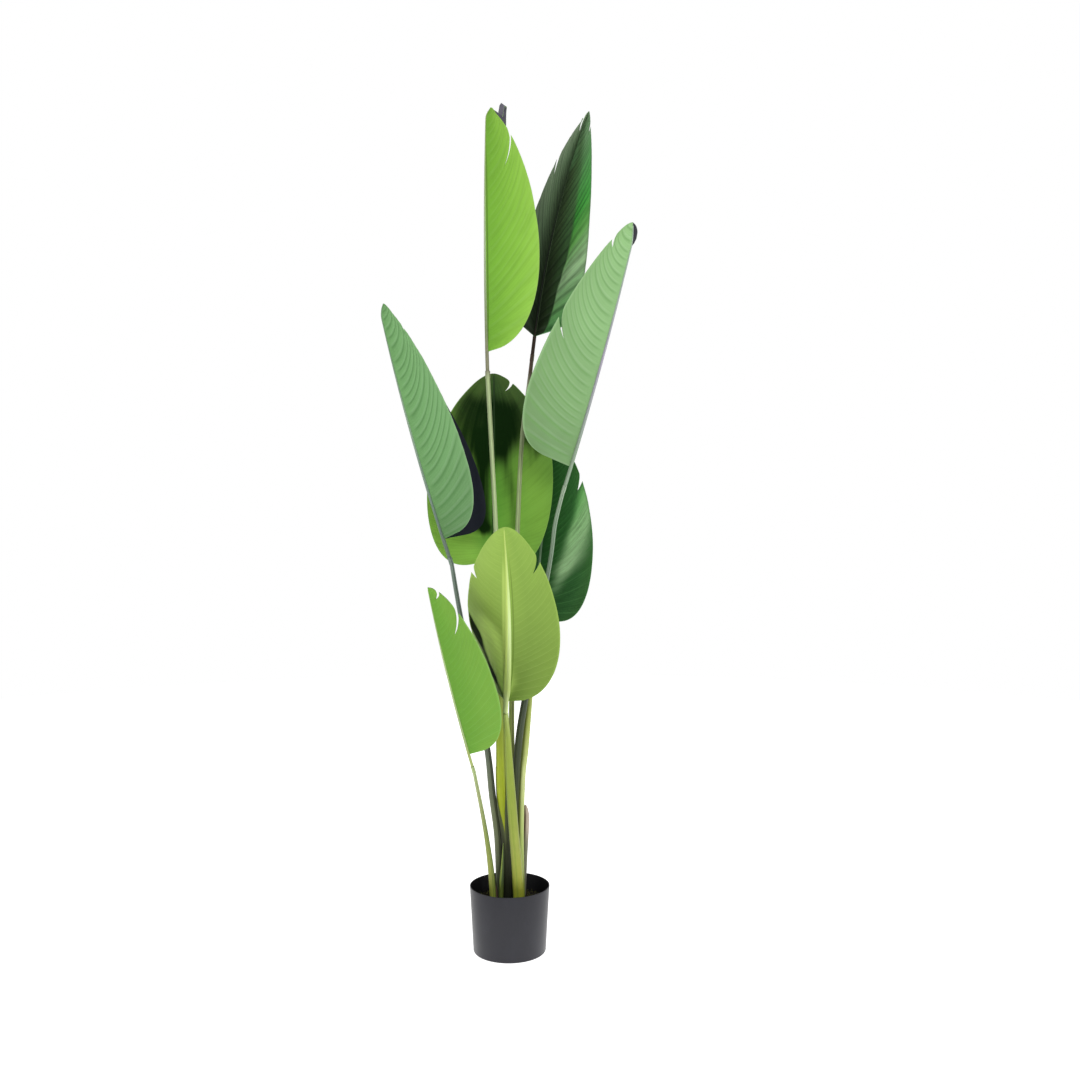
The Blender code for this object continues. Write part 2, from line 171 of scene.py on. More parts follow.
def newMaterial(name, roughness, gloss):
    material = bpy.data.materials.new(name)
    material.use_nodes = True
    hand["tree"] = material.node_tree
    hand["shader"] = material.node_tree.nodes["Principled BSDF"].inputs
    hand["shader"]["Roughness"].default_value = roughness
    hand["shader"]["Specular IOR Level"].default_value = gloss
    return material


def feed(name, socket):
    hand["tree"].links.new(socket, hand["shader"][name])


def paint(color, height, distance, strength=1.0):
    feed("Base Color", color)
    feed("Normal", addNode("Bump", {"Height": height, "Distance": distance, "Strength": strength}))


def rideAs(piece, slot, *nodes, material=None):
    if material:
        piece.data.materials.append(material)
    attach(piece, "root")
    if nodes:
        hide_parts(*nodes)


# camera, floor and light
studio = {
    "eye": (0.057, -1.965, 0.771), "lens": 34.767, "sensor": 36.0,
    "floorRadius": 4.0, "floorGlow": 0.92, "roomGlow": 0.34,
    "lamps": [  # name, place, aim, size, watts
        ("keyLamp", (0.7, -3.0, 2.2), (0.0, 0.0, 0.9), 1.8, 30),
        ("sideLamp", (2.6, -0.9, 1.3), (0.0, 0.0, 0.7), 1.8, 14),
        ("fillLamp", (-2.6, -1.2, 1.5), (0.0, 0.0, 0.8), 1.8, 9),
        ("topLamp", (0.0, 0.2, 3.6), (0.0, 0.0, 0.8), 2.4, 14),
        ("backLamp", (-0.8, 2.8, 1.8), (0.0, 0.0, 0.9), 2.0, 8),
    ],
}


def addStudio():
    deselectAll()
    bpy.ops.object.camera_add(location=studio["eye"], rotation=(math.radians(90), 0, 0))
    camera = bpy.context.object
    camera.data.lens = studio["lens"]
    camera.data.sensor_width = studio["sensor"]
    camera.data.clip_end = 60
    bpy.context.scene.camera = camera

    bpy.ops.mesh.primitive_circle_add(vertices=96, radius=studio["floorRadius"], fill_type="NGON")
    floor = bpy.context.object
    floor.name = "studioFloor"
    floor.data.materials.append(newMaterial("paleFloor", 0.9, 0.1))
    feed("Base Color", mixed(noisy(objectPlace(), 40), (0.93, 0.93, 0.93, 1), (0.97, 0.97, 0.97, 1)))
    hand["shader"]["Emission Color"].default_value = (1, 1, 1, 1)
    hand["shader"]["Emission Strength"].default_value = studio["floorGlow"]

    for name, place, aim, size, watts in studio["lamps"]:
        bpy.ops.object.light_add(type="AREA", location=place)
        lamp = bpy.context.object
        lamp.name = name
        lamp.rotation_euler = (Vector(aim) - Vector(place)).to_track_quat("-Z", "Y").to_euler()
        lamp.data.shape = "DISK"
        lamp.data.size = size
        lamp.data.energy = watts

    world = bpy.data.worlds.new("whiteRoom")
    world.use_nodes = True
    hand["tree"] = tree = world.node_tree
    room = tree.nodes["Background"]
    room.inputs["Strength"].default_value = studio["roomGlow"]
    room.inputs["Color"].default_value = (1, 1, 1, 1)
    backdrop = addNode("Background", {"Color": (1, 1, 1, 1), "Strength": 1.0})
    seen = addNode("LightPath", out="Is Camera Ray")
    both = addNode("MixShader", {0: seen, 1: room.outputs[0], 2: backdrop})
    tree.links.new(both, tree.nodes["World Output"].inputs[0])
    bpy.context.scene.world = world
    bpy.context.scene.view_settings.view_transform = "Standard"


addStudio()
print("studio ready")


# leaves: the same folded form as the solids, cut finer. Values in pairs are for side 1, then side -1.
# face, twist, fold, close and curl are degrees, lobe draws the base down, nod bends the last of the tip,
# crown lifts the top of side 1, sweep is how far the side veins run up (amount, how soon, power), crease is
# (row, place, softness) of a dip in side 1 with painted light beyond it, ridge (height, sharpness), slits are
# (side, row, inner end, opening), tuck rounds their corners, neckWide widens the bare neck below the blade
bladeForm = {
    "rows": 242, "columns": 36, "thickness": 0.0008, "columnPower": 1.25, "crowding": 0.085,
    "twistCenter": 0.4, "closeStart": 0.72, "slitReach": 0.05, "slitLift": 0.0014, "cornerTuck": 0.1,
    "marginWave": 0.0009, "edgeJitter": 0.006, "crownEase": (0.39, 0.48), "creaseDepth": 0.0022,
    "creaseWidth": 0.09, "creasePaintedLight": 1.25, "markStretch": 4,
    "veinWander": ((0.22, 21, 1), (0.1, 47, 2)),
}
large = {"rib": 0.0036, "tip": 0.001, "neck": 0.036, "plug": 0.0022, "collar": 0.0046}
small = {"rib": 0.0028, "tip": 0.0008, "neck": 0.024, "plug": 0.0016, "collar": 0.0034}
leaves = {
    "a": dict(
        size=large, base=(-0.0418, -0.02, 1.1217), tip=(-0.045, 0.01, 1.59), bow=(-0.003, -0.004, 0.0),
        face=3, twist=1, fold=(14, 53), curl=(4, 4), close=(24, 0), reach=(0.098, 0.12),
        outline=((0.5, 0.24), (0.39, 0.72)), lobe=(0.0, -0.005), sweep=(0.95, 0.6, 1.4), veins=23,
        ridge=(0.0004, 5), nod=(0.955, 0.0085, 0.0, 0.0),
        crown=((0.94, 0.0), (0.958, 0.043), (0.97, 0.046), (0.985, 0.034), (1.0, 0.02)),
        slits=((-1, 0.645, 0.5, 0.012),),
    ),
    "b": dict(
        size=large, base=(0.0463, 0.09, 1.1715), tip=(0.1545, 0.17, 1.6413), bow=(-0.013, -0.01, 0.0012),
        face=280, twist=5, fold=(68, 60), curl=(-26, 0), reach=(0.115, 0.12),
        outline=((0.2, 0.82), (0.2, 0.84)), lobe=(-0.008, 0.002), sweep=(0.95, 0.6, 1.4), veins=24,
        ridge=(0.0007, 5), nod=(0.9, 0.003, 0.0, 0.0075), crease=(
            (0.0, 0.4, 0.05), (0.06, 0.42, 0.05), (0.12, 0.45, 0.05), (0.17, 0.5, 0.05), (0.22, 0.57, 0.06),
            (0.34, 0.59, 0.12), (0.6, 0.56, 0.28), (0.8, 0.4, 0.36), (1.0, 0.24, 0.4),
        ), slits=((-1, 0.42, 0.8, 0.008), (1, 0.8, 0.8, 0.006), (-1, 0.88, 0.3, 0.014)),
    ),
    "c": dict(
        size=large, base=(0.1141, -0.03, 0.9065), tip=(0.2338, -0.07, 1.35), bow=(0.0035, 0.0, -0.0037),
        face=159, twist=5, fold=(55, 56), close=(0, -78), reach=(0.1204, 0.115),
        outline=((0.23, 0.68), (0.3, 0.6)), lobe=(-0.009, 0.0), sweep=(0.7, 0.6, 1.9), veins=27,
        ridge=(0.0008, 3), nod=(0.9, -0.008, 0.0, -0.002),
        slits=((1, 0.37, 0.72, 0.009), (1, 0.83, 0.72, 0.012)),
    ),
    "d": dict(
        size=large, base=(-0.1221, -0.03, 0.7725), tip=(-0.234, -0.09, 1.199), bow=(-0.007, 0.0, 0.0043),
        face=-5, twist=1, fold=(55, 59), reach=(0.109, 0.1119), outline=((0.24, 0.95), (0.28, 0.71)),
        lobe=(0.02, -0.014), sweep=(0.8, 0.6, 1.8), veins=24, ridge=(0.0008, 3),
        nod=(0.93, 0.009, 0.0, -0.003), slits=((-1, 0.71, 0.8, 0.007),),
    ),
    "e": dict(
        size=large, base=(-0.0352, 0.06, 0.7361), tip=(-0.042, 0.27, 1.12), bow=(0.0038, -0.045, -0.0047),
        face=267, twist=18, fold=(14, 6), curl=(9, 4), reach=(0.1257, 0.131),
        outline=((0.37, 0.66), (0.37, 0.66)), lobe=(0.053, 0.053), sweep=(0.6, 0.5, 1.4), veins=26,
        ridge=(0.0003, 4), nod=(0.85, 0.0, 0.0, 0.0075), slits=((1, 0.88, 0.4, 0.007),),
    ),
    "f": dict(
        size=small, base=(-0.0051, -0.05, 0.4753), tip=(-0.006, -0.15, 0.793), bow=(0.005, 0.012, -0.0058),
        face=81, twist=60, fold=(18, 4), curl=(24, 4), reach=(0.0965, 0.0943),
        outline=((0.26, 0.6), (0.34, 0.6)), lobe=(-0.01, -0.018), sweep=(0.6, 0.5, 1.4), veins=31,
        neckWide=1.85, ridge=(0.0004, 4), slits=((-1, 0.64, 0.65, 0.011), (1, 0.585, 0.8, 0.01)),
    ),
    "g": dict(
        size=small, base=(-0.0736, -0.05, 0.3773), tip=(-0.144, -0.1, 0.686), bow=(-0.0036, 0.0, 0.0005),
        face=2, twist=-2, fold=(60, 66), reach=(0.08, 0.091), outline=((0.32, 0.63), (0.3, 0.6)),
        lobe=(0.0, -0.008), sweep=(0.95, 0.6, 1.4), veins=28, ridge=(0.0003, 4), tuck=0.06, slits=(
            (-1, 0.915, 0.33, 0.014), (-1, 0.625, 0.5, 0.02), (1, 0.9, 0.33, 0.02), (1, 0.585, 0.48, 0.03),
        ),
    ),
    "h": dict(
        size=large, base=(0.048, 0.085, 0.62), tip=(0.087, 0.2, 0.98), bow=(-0.004, -0.015, 0.0), face=265,
        twist=0, fold=(18, 10), curl=(8, 4), reach=(0.1145, 0.085), outline=((0.3, 0.7), (0.32, 0.72)),
        lobe=(0.027, 0.027), sweep=(0.8, 0.5, 1.4), veins=32, ridge=(0.0005, 4),
        slits=((1, 0.5, 0.8, 0.014),),
    ),
}


def midrib(leaf, s):
    base, tip, bow = Vector(leaf["base"]), Vector(leaf["tip"]), Vector(leaf["bow"])
    point = base + (tip - base) * s + bow * (4 * s * (1 - s))
    if "nod" in leaf:
        start, *push = leaf["nod"]
        point += Vector(push) * max(0.0, (s - start) / (1 - start)) ** 1.6
    return point, ((tip - base) + bow * (4 - 8 * s)).normalized()


def upperSide(leaf, s, along):
    bearing = math.radians(leaf["face"] + leaf["twist"] * (s - bladeForm["twistCenter"]))
    face = Vector((math.cos(bearing), math.sin(bearing), 0.0))
    return (face - along * face.dot(along)).normalized()


def reachShare(outline, s):
    low, high = outline
    peak = low / (low + high)
    return s ** low * (1 - s) ** high / (peak ** low * (1 - peak) ** high)


def ease(value, low, high):
    t = min(max((value - low) / (high - low), 0.0), 1.0)
    return t * t * (3 - 2 * t)


def between(marks, place):  # the values of a list of (place, value, ...) at one place
    for (p0, *low), (p1, *high) in zip(marks, marks[1:]):
        if p0 <= place <= p1:
            t = (place - p0) / (p1 - p0)
            return [a + (b - a) * t for a, b in zip(low, high)]
    return [0.0] * (len(marks[0]) - 1)


def bladePoint(leaf, row, across, side, slide=0.0):
    half = 0 if side > 0 else 1
    steep, soon, power = leaf["sweep"]
    s = row + steep * (1 - row) * (1 - math.exp(-row / soon)) * across ** power + slide
    s = min(max(s, 0.0), 1.0)
    point, along = midrib(leaf, s)
    upper = upperSide(leaf, s, along)
    outward = along.cross(upper) * side
    share = reachShare(leaf["outline"][half], s)
    reach = leaf["reach"][half] * share
    closing = max(0.0, (s - bladeForm["closeStart"]) / (1 - bladeForm["closeStart"])) ** 2
    rise = math.radians(leaf["fold"][half] + leaf.get("close", (0, 0))[half] * closing)
    curl = math.radians(leaf.get("curl", (0, 0))[half]) or 0.0001
    bent = rise + curl * across
    point = point + outward * (reach * (math.sin(bent) - math.sin(rise)) / curl)
    point = point + upper * (reach * (math.cos(rise) - math.cos(bent)) / curl)
    point = point - along * (leaf["lobe"][half] * share * (1 - s) ** 4 * across)
    if "crown" in leaf and side > 0:
        point = point + along * (between(leaf["crown"], s)[0] * ease(share * across, *bladeForm["crownEase"]))
    return point, upper * math.cos(bent) - outward * math.sin(bent)


def rowPlace(share):
    return share - bladeForm["crowding"] * math.sin(2 * math.pi * share)


# painted light and painted shade patches as soft strokes (row, across, row, across, width, amount)
def softMarks(marks, row, across):
    total, stretch = 0.0, bladeForm["markStretch"]
    for r0, a0, r1, a1, width, amount in marks:
        start, line = Vector((r0 * stretch, a0)), Vector(((r1 - r0) * stretch, a1 - a0))
        spot = Vector((row * stretch, across)) - start
        t = min(max(spot.dot(line) / max(line.length_squared, 0.000001), 0.0), 1.0)
        total += amount * math.exp(-((spot - line * t).length / width) ** 2)
    return total


def makeBlade(letter, leaf):
    form, look = bladeForm, leafLooks[letter]
    rows, columns = form["rows"], form["columns"]
    blade = newGrid("blade" + letter.upper(), columns, rows)
    mesh = blade.data

    # open the slits along a vein
    cuts = []
    for side, place, start, opening in leaf["slits"]:
        row = min(range(1, rows), key=lambda k: abs(rowPlace(k / rows) - place))
        column = round(start ** (1 / form["columnPower"]) * columns / 2)
        level, inner = 2 * row / rows - 1, 2 * column / columns
        cuts.append((side, row, inner ** form["columnPower"], opening))
        markEdges(blade, lambda *ends: all(
            abs(c.y - level) < 0.0005 and c.x * side > inner - 0.001 for c in ends))
        bpy.ops.mesh.edge_split(type="EDGE")
        bpy.ops.mesh.select_all(action="DESELECT")
        shutMesh()

    # which side of its slit each vertex belongs to
    pull = [0.0] * len(mesh.vertices)
    for face in mesh.polygons:
        middle = sum(mesh.vertices[k].co.y for k in face.vertices) / len(face.vertices)
        for k in face.vertices:
            pull[k] += middle - mesh.vertices[k].co.y

    seed = ord(letter) * 3.7
    height, sharpness = leaf["ridge"]
    # leafPaintedShade holds the painted shade strokes and leafGlow the painted light strokes
    values = {"leafRow": [], "leafAcross": [], "leafVein": [], "leafPaintedShade": [], "leafGlow": []}
    for k, v in enumerate(mesh.vertices):
        side = 1 if v.co.x >= 0 else -1
        across = abs(v.co.x) ** form["columnPower"]
        share = (v.co.y + 1) / 2
        row = min(max(rowPlace(share), 0.0), 1.0)
        slide, lift, tuck = 0.0, 0.0, 0.0
        for cutSide, cutRow, inner, opening in cuts:
            center = rowPlace(cutRow / rows)
            near = 1 - abs(row - center) / form["slitReach"]
            if cutSide == side and near > 0 and across > inner:
                gape = (across - inner) / (1 - inner)
                above = pull[k] if abs(share * rows - cutRow) < 0.01 else row - center
                slide += math.copysign(opening * gape * near, above)
                lift += math.copysign(form["slitLift"] * gape * near ** 2, above)
                if above > 0:  # the upper corner of a slit is rounded off
                    tuck = max(tuck, leaf.get("tuck", form["cornerTuck"]) * gape * near ** 3)
        wander = noise.noise((row * 9, side * 5 + seed, 0.0))
        acrossNow = across * (1 - tuck) * (1 + form["edgeJitter"] * wander * across ** 6)
        point, normal = bladePoint(leaf, row, acrossNow, side, slide)
        phase = leaf["veins"] * row
        for swing, often, shift in form["veinWander"]:
            phase += swing * math.sin(row * often + shift * seed)
        ridge = abs(math.cos(math.pi * phase)) ** sharpness
        fade = min(1.0, across / 0.2) * (1 - 0.55 * across) * min(1.0, 8 * row * (1 - row) + 0.1)
        wave = noise.noise((row * 13, seed, side * 3.0)) * form["marginWave"] * across ** 2
        paintedShade = softMarks(look.get("paintedShade", ()), row, side * across)
        paintedLight = softMarks(look.get("paintedLight", ()), row, side * across)
        # the crease: a dip in the surface, and painted light on side 1 beyond it
        if "crease" in leaf and side > 0:
            place, soft = between(leaf["crease"], row)
            dip = math.exp(-((across - place) / form["creaseWidth"]) ** 2)
            wave -= form["creaseDepth"] * dip * ease(row, 0.5, 0.3)
            lit = ease(across, place - soft * 0.5, place + soft) * (1 - 0.2 * ease(row, 0.3, 0.8))
            paintedLight += form["creasePaintedLight"] * lit
        if share in (0.0, 1.0):
            lift = ridge = wave = 0.0
        v.co = point + normal * (ridge * fade * height + wave + lift)
        for name, value in zip(values, (row, side * across, phase, paintedShade, paintedLight)):
            values[name].append(value)
    for name, column in values.items():
        mesh.attributes.new(name, "FLOAT", "POINT").data.foreach_set("value", column)

    openMesh()
    bpy.ops.mesh.remove_doubles(threshold=0.00002)
    bpy.ops.mesh.select_all(action="DESELECT")
    shutMesh()
    for k, (name, plain) in enumerate(plainLooks.items()):
        mesh.materials.append(leafMaterial(name + letter.upper(), {**plain, **look.get(name, {})}, seed + k))
    mesh.materials.append(edgeMaterial("edge" + letter.upper(), look["edge"]))
    thicken(blade, form["thickness"], material_offset=1, material_offset_rim=2)
    smoothed(45)
    rideAs(blade, "leaf_" + letter, "leaf_" + letter)


# what each side of a leaf looks like. tones run from the margin of side -1 over the midrib (0.5) to that of
# side 1, shade multiplies them from base to tip, with painted shade where it darkens most (the top of e, the
# foot of b), streak is (colour, amount), vein is (amount, width) with bank the amount of a painted highlight
# beside each groove, groove is the colour of painted shade in the vein valleys where it is darker and of the
# veins' own paler lines where it is paler (f, g, h), paintedLightTones run from base to tip where a glow
# stroke of painted light lies, lines are (side, place, width, colour, amount). dusk strokes are painted shade
# and glow strokes painted light, on both sides of the leaf, see softMarks, feather makes their ends uneven
# and paintedShadeFull is the dusk that covers fully
plainLooks = {
    "upper": dict(
        tones=[(0, "3c6a30"), (1, "3c6a30")], shade=[(0, 1.0), (1, 1.0)], streak=("264a1c", 0.5),
        groove="2c501f", vein=(0.6, 0.14), bankHighlight=0.1, margin="5c8a40", rib="7c9a54",
    ),
    "under": dict(
        tones=[(0, "7fae64"), (1, "7fae64")], shade=[(0, 0.95), (1, 1.0)], streak=("699a52", 0.4),
        groove="6b9a56", vein=(0.6, 0.14), bankHighlight=0.1, margin="8dbb74", rib="9cb584",
    ),
}
leafLooks = {
    "a": dict(
        upper=dict(
            tones=[(0, "4c7a34"), (0.5, "3f6c2c"), (1, "4c7a34")], groove="325a24", margin="5f8a48",
            rib="8fa85c", paintedShadeTone="5f5c68",
        ), under=dict(
            tones=[(0, "9ed454"), (0.2, "90ca48"), (0.38, "82be3e"), (0.5, "7bb83b"), (1, "8ac543")],
            shade=[(0, 1.0), (0.5, 1.0), (0.82, 0.92), (1, 0.78)], streak=("75ab38", 0.55), groove="78ac3a",
            vein=(0.3, 0.3), bankHighlight=0.04, paintedShadeTone="74727c", margin="a2d262", rib="aebf8c",
            lines=[(-1, 0.05, 0.02, "55702c", 0.75)],
        ), edge="9ac76a", paintedShade=((1.0, 0.52, 0.91, 1.0, 0.25, 2.6),),
    ),
    "b": dict(
        # b's upper side is dark inside the fold as painted shade, and lit beyond the crease on side 1 as
        # painted light
        upper=dict(
            tones=[
                (0, "718268"), (0.22, "5f7357"), (0.44, "45573e"), (0.5, "364730"), (0.62, "465b3a"),
                (0.75, "4d7145"), (1, "567e4c"),
            ], shade=[(0, 0.5), (0.2, 0.8), (0.45, 1.3), (0.7, 1.5), (1, 1.75)], streak=("141d13", 0.5),
            groove="182117", vein=(0.48, 0.3), bankHighlight=0.04, margin="5d6b5c", rib="1c2519",
            lines=[(1, 0.06, 0.014, "a3bf92", 0.35)], ribWidth=0.05, paintedLightTones=[
                (0, "5eaa5d"), (0.06, "95da89"), (0.14, "c6f2b6"), (0.24, "7dcd66"), (0.34, "53bc4e"),
                (0.5, "62b45e"), (0.75, "7aae74"), (1, "88ac80"),
            ], feather=0.5,
        ), edge="6f8a66", paintedLight=((1.0, 0.06, 0.76, 0.16, 0.2, 0.8),),
    ),
    "c": dict(
        # c's upper side is dark grey at the margin of side -1: painted shade
        upper=dict(
            tones=[(0, "38363d"), (0.12, "2f3a30"), (0.4, "2c5030"), (1, "356034")], streak=("1f3a24", 0.5),
            groove="22402a", bankHighlight=0.0, margin="45604a", rib="6f8c68", paintedShadeTone="35333a",
        ), under=dict(
            tones=[(0, "97bf86"), (0.5, "8fb97d"), (0.75, "90ba7e"), (1, "88b175")],
            shade=[(0, 0.62), (0.3, 0.8), (0.6, 0.95), (1, 1.06)], streak=("84b071", 0.35), groove="6a9757",
            vein=(0.7, 0.26), bankHighlight=0.08, margin="a9cf9a", rib="a39fa6", paintedShadeTone="3a3a40",
        ), edge="b4cfa6", paintedShade=((1.0, -0.35, 0.86, -1.0, 0.3, 2.4),),
    ),
    "d": dict(
        # d's upper side runs to near black towards side 1: painted shade on the half seen inside the fold
        upper=dict(
            tones=[(0, "30582f"), (0.5, "264a2a"), (0.66, "1a3024"), (0.78, "161a26"), (1, "161a26")],
            streak=("12181c", 0.5), groove="141c20", bankHighlight=0.0, margin="20252c", rib="5c7a54",
        ), under=dict(
            tones=[(0, "7eaf72"), (0.3, "74a568"), (0.5, "6fa062"), (1, "79aa6d")],
            shade=[(0, 0.66), (0.3, 0.92), (0.6, 1.0), (1, 0.98)], streak=("628f54", 0.35), groove="4c7a42",
            vein=(0.75, 0.26), bankHighlight=0.06, margin="8cb780", rib="8ba487",
        ), edge="93b489",
    ),
    "e": dict(
        # e's upper side: the shade ramp darkens its top as painted shade, the dusk strokes add painted shade
        # and the glow strokes painted light on its lower parts
        upper=dict(
            tones=[(0, "8cc04b"), (0.3, "8abd49"), (0.5, "67a738"), (0.75, "8ac34b"), (1, "92ca54")],
            shade=[(0, 1.0), (0.42, 0.92), (0.56, 0.36), (0.7, 0.19), (0.85, 0.26), (1, 0.28)],
            streak=("3f7a22", 0.3), groove="2f5f1f", vein=(0.06, 0.2), bankHighlight=0.0, margin="8cc353",
            rib="2d551b", paintedShadeTone="122a0c", paintedShadeFull=1.25, paintedLightTones=[(0, "98d052"), (1, "94cc4e")],
            feather=0.95,
        ), edge="8fc25a", paintedShade=(
            (0.8, -0.16, 0.66, -0.06, 0.28, 0.6), (0.78, 0.12, 0.6, 0.12, 0.34, 0.75),
            (0.72, 0.46, 0.6, 0.5, 0.34, 0.8), (0.5, 0.76, 0.39, 0.86, 0.2, 1.1),
            (0.62, -0.17, 0.17, -0.15, 0.15, 1.25), (0.76, -0.62, 0.54, -0.55, 0.34, 0.95),
            (1.0, 0.0, 0.9, 0.1, 0.7, 0.4), (0.55, 0.16, 0.145, 0.4, 0.1, 0.7),
            (0.17, -0.42, 0.14, -0.12, 0.14, 0.5),
        ), paintedLight=((0.34, 0.62, 0.1, 0.86, 0.24, 0.65), (0.06, -0.72, 0.03, -0.3, 0.2, 0.7)),
    ),
    "f": dict(
        under=dict(
            tones=[(0, "85a547"), (0.3, "7a9940"), (0.5, "82a044"), (0.8, "88a64a"), (1, "8ba94e")],
            shade=[(0, 0.84), (0.35, 0.92), (0.6, 1.02), (1, 1.16)], streak=("7c9c41", 0.4), groove="a8c468",
            vein=(0.26, 0.1), bankHighlight=0.0, margin="a8c964", rib="b9cf7c", paintedShadeTone="141f0a", feather=0.15,
            paintedLightTones=[(0, "cdf07a"), (1, "cdf07a")],
            lines=[(-1, 0.105, 0.02, "64802f", 0.8), (1, 0.085, 0.06, "b0c965", 0.75)],
        ), edge="a8c56c", paintedShade=(
            (0.285, 1.15, 0.23, 0.82, 0.13, 1.7), (0.23, 0.82, 0.085, 0.48, 0.11, 0.8),
            (0.085, 0.48, 0.02, 0.2, 0.1, 0.55),
        ), paintedLight=((0.34, 0.42, 0.1, 0.12, 0.32, 0.95),),
    ),
    "g": dict(
        under=dict(
            tones=[(0, "72a13a"), (0.2, "6e9e38"), (0.38, "649830"), (0.5, "61942f"), (1, "689c35")],
            shade=[(0, 0.98), (0.6, 1.0), (0.85, 1.04), (1, 1.1)], streak=("649c3b", 0.45), groove="93c268",
            vein=(0.17, 0.12), bankHighlight=0.0, margin="92c666", rib="a9bd84",
        ), edge="93bf6c",
    ),
    "h": dict(
        upper=dict(
            tones=[
                (0, "224d25"), (0.45, "245524"), (0.5, "204d23"), (0.65, "2c5e2b"), (0.85, "386e37"),
                (1, "45793d"),
            ], shade=[(0, 0.72), (0.15, 0.85), (0.3, 1.0), (1, 1.05)], streak=("143a17", 0.5),
            groove="5a9454", vein=(0.3, 0.12), bankHighlight=0.0, margin="4a8446", rib="7b947a",
            paintedLightTones=[(0, "77a571"), (0.2, "abd39c"), (0.33, "a7d997"), (0.45, "80cb73"), (1, "74be64")],
            feather=0.5,
        ), edge="5f9a5c", paintedLight=(
            (0.44, 0.92, 0.33, 0.76, 0.25, 0.75), (0.31, 0.72, 0.22, 0.54, 0.24, 0.65),
            (0.2, 0.5, 0.13, 0.36, 0.16, 0.4), (0.38, 1.0, 0.2, 0.84, 0.22, 0.3),
        ),
    ),
}


def leafMaterial(name, look, seed):
    material = newMaterial(name, 0.48, 0.14)
    row, across, vein, paintedShade, paintedLight = [
        addNode("Attribute", out="Fac", attribute_name="leaf" + kind)
        for kind in ("Row", "Across", "Vein", "PaintedShade", "Glow")]
    out = sums("ABSOLUTE", across)
    color = ramp(times(across, 0.5, 0.5), look["tones"])
    # shade darkens or lightens the colour from base to tip; where it darkens most, as at the top of e and the
    # foot of b, it is painted shade
    color = mixed(1.0, color, ramp(row, look["shade"], True), "MULTIPLY")

    # painted light patches with feathered ends, then streaks between the veins
    veinPlace = addNode("CombineXYZ", {0: times(vein, 1.1), 1: times(across, 1.3), 2: seed})
    streak = noisy(veinPlace, 1.6, 4.0)
    if "paintedLightTones" in look:
        lit = times(sums("SUBTRACT", streak, 0.5), look["feather"], paintedLight)
        color = mixed(span(lit, 0.1, 0.95), color, ramp(row, look["paintedLightTones"]))
    code, amount = look["streak"]
    color = mixed(span(streak, 0.42, 0.72, amount * 0.65), color, tone(code))

    # side veins: a groove at every whole phase, coloured as painted shade where the groove colour is darker
    # and as the veins' own paler line where it is paler, a painted highlight beside it on one side, fine ones
    # between
    amount, width = look["vein"]
    beat = sums("FRACT", sums("ADD", vein, 0.5))
    clear = times(span(out, 0.02, 0.2), span(out, 1.15, 0.75))
    groove = times(span(apart(beat, 0.5), width, 0.0), clear)
    color = mixed(times(groove, amount * 0.8), color, tone(look["groove"]))
    if look["bankHighlight"]:
        bankHighlight = times(span(apart(beat, 0.72), 0.2, 0.0), clear)
        color = mixed(times(bankHighlight, look["bankHighlight"] * 0.45), color, (1, 1, 1, 1))
    fineLine = span(apart(sums("FRACT", times(vein, 5.0)), 0.5), 0.2, 0.5)  # five to each vein
    color = mixed(times(fineLine, 0.08), color, tone(look["groove"]))

    # painted shade: dusk darkens the colour towards paintedShadeTone and takes off the gloss there
    if "paintedShadeTone" in look:  # dull and dark, with feathered ends too
        axisPlace = addNode("CombineXYZ", {0: times(across, 9.0), 1: times(row, 1.4), 2: seed})
        ragged = sums("SUBTRACT", noisy(axisPlace, 1.0, 2.0), 0.5)
        dark = span(times(ragged, look.get("feather", 0.0), paintedShade), 0.1, look.get("paintedShadeFull", 0.85))
        color = mixed(dark, color, tone(look["paintedShadeTone"]))
        feed("Specular IOR Level", times(dark, -0.13, 0.14))

    # cloudy tint, pale margin, the strip beside the midrib and its shaded line
    cloud = noisy(objectPlace(), 14.0, 4.0)
    color = mottled(0.5, color, cloud, 0.9, 1.08, 0.25)
    color = mixed(span(out, 0.95, 1.0, 0.4), color, tone(look["margin"]))
    color = mixed(span(out, look.get("ribWidth", 0.035), 0.0, 0.8), color, tone(look["rib"]))
    for side, place, width, code, amount in look.get("lines", ()):
        line = span(apart(times(across, side), place), width, width * 0.3, amount)
        color = mixed(times(line, span(row, 0.9, 0.7)), color, tone(code))
    feed("Roughness", times(cloud, 0.16, 0.42))
    weave = noisy(objectPlace(), 600.0, 2.0)
    paint(color, times(weave, 0.1, times(fineLine, 0.55)), 0.00022, 0.8)
    return material


def edgeMaterial(name, code):
    material = newMaterial(name, 0.6, 0.3)
    fray = noisy(objectPlace(), 260.0)
    worn = [a * 0.7 + b * 0.3 for a, b in zip(tone(code), (0.08, 0.09, 0.05, 1))]
    paint(mixed(fray, tone(code), worn), fray, 0.0003)
    return material


for letter, leaf in leaves.items():
    makeBlade(letter, leaf)
print("leaves cut and veined")


# tubes: a grid rolled round a path, closed where its long edges meet and at its ends
def closeUp(piece, holes=True):
    pick(piece)
    openMesh()
    bpy.ops.mesh.remove_doubles(threshold=0.00001)
    if holes:
        bpy.ops.mesh.fill_holes(sides=0)
    shutMesh(outward=True)


def rolledTube(name, rings, sides, placeAt):
    piece = newGrid(name, sides, rings - 1)
    for v in piece.data.vertices:
        v.co = placeAt(round((v.co.y + 1) / 2 * (rings - 1)), (v.co.x + 1) * math.pi)
    closeUp(piece)
    smoothed(50)
    return piece


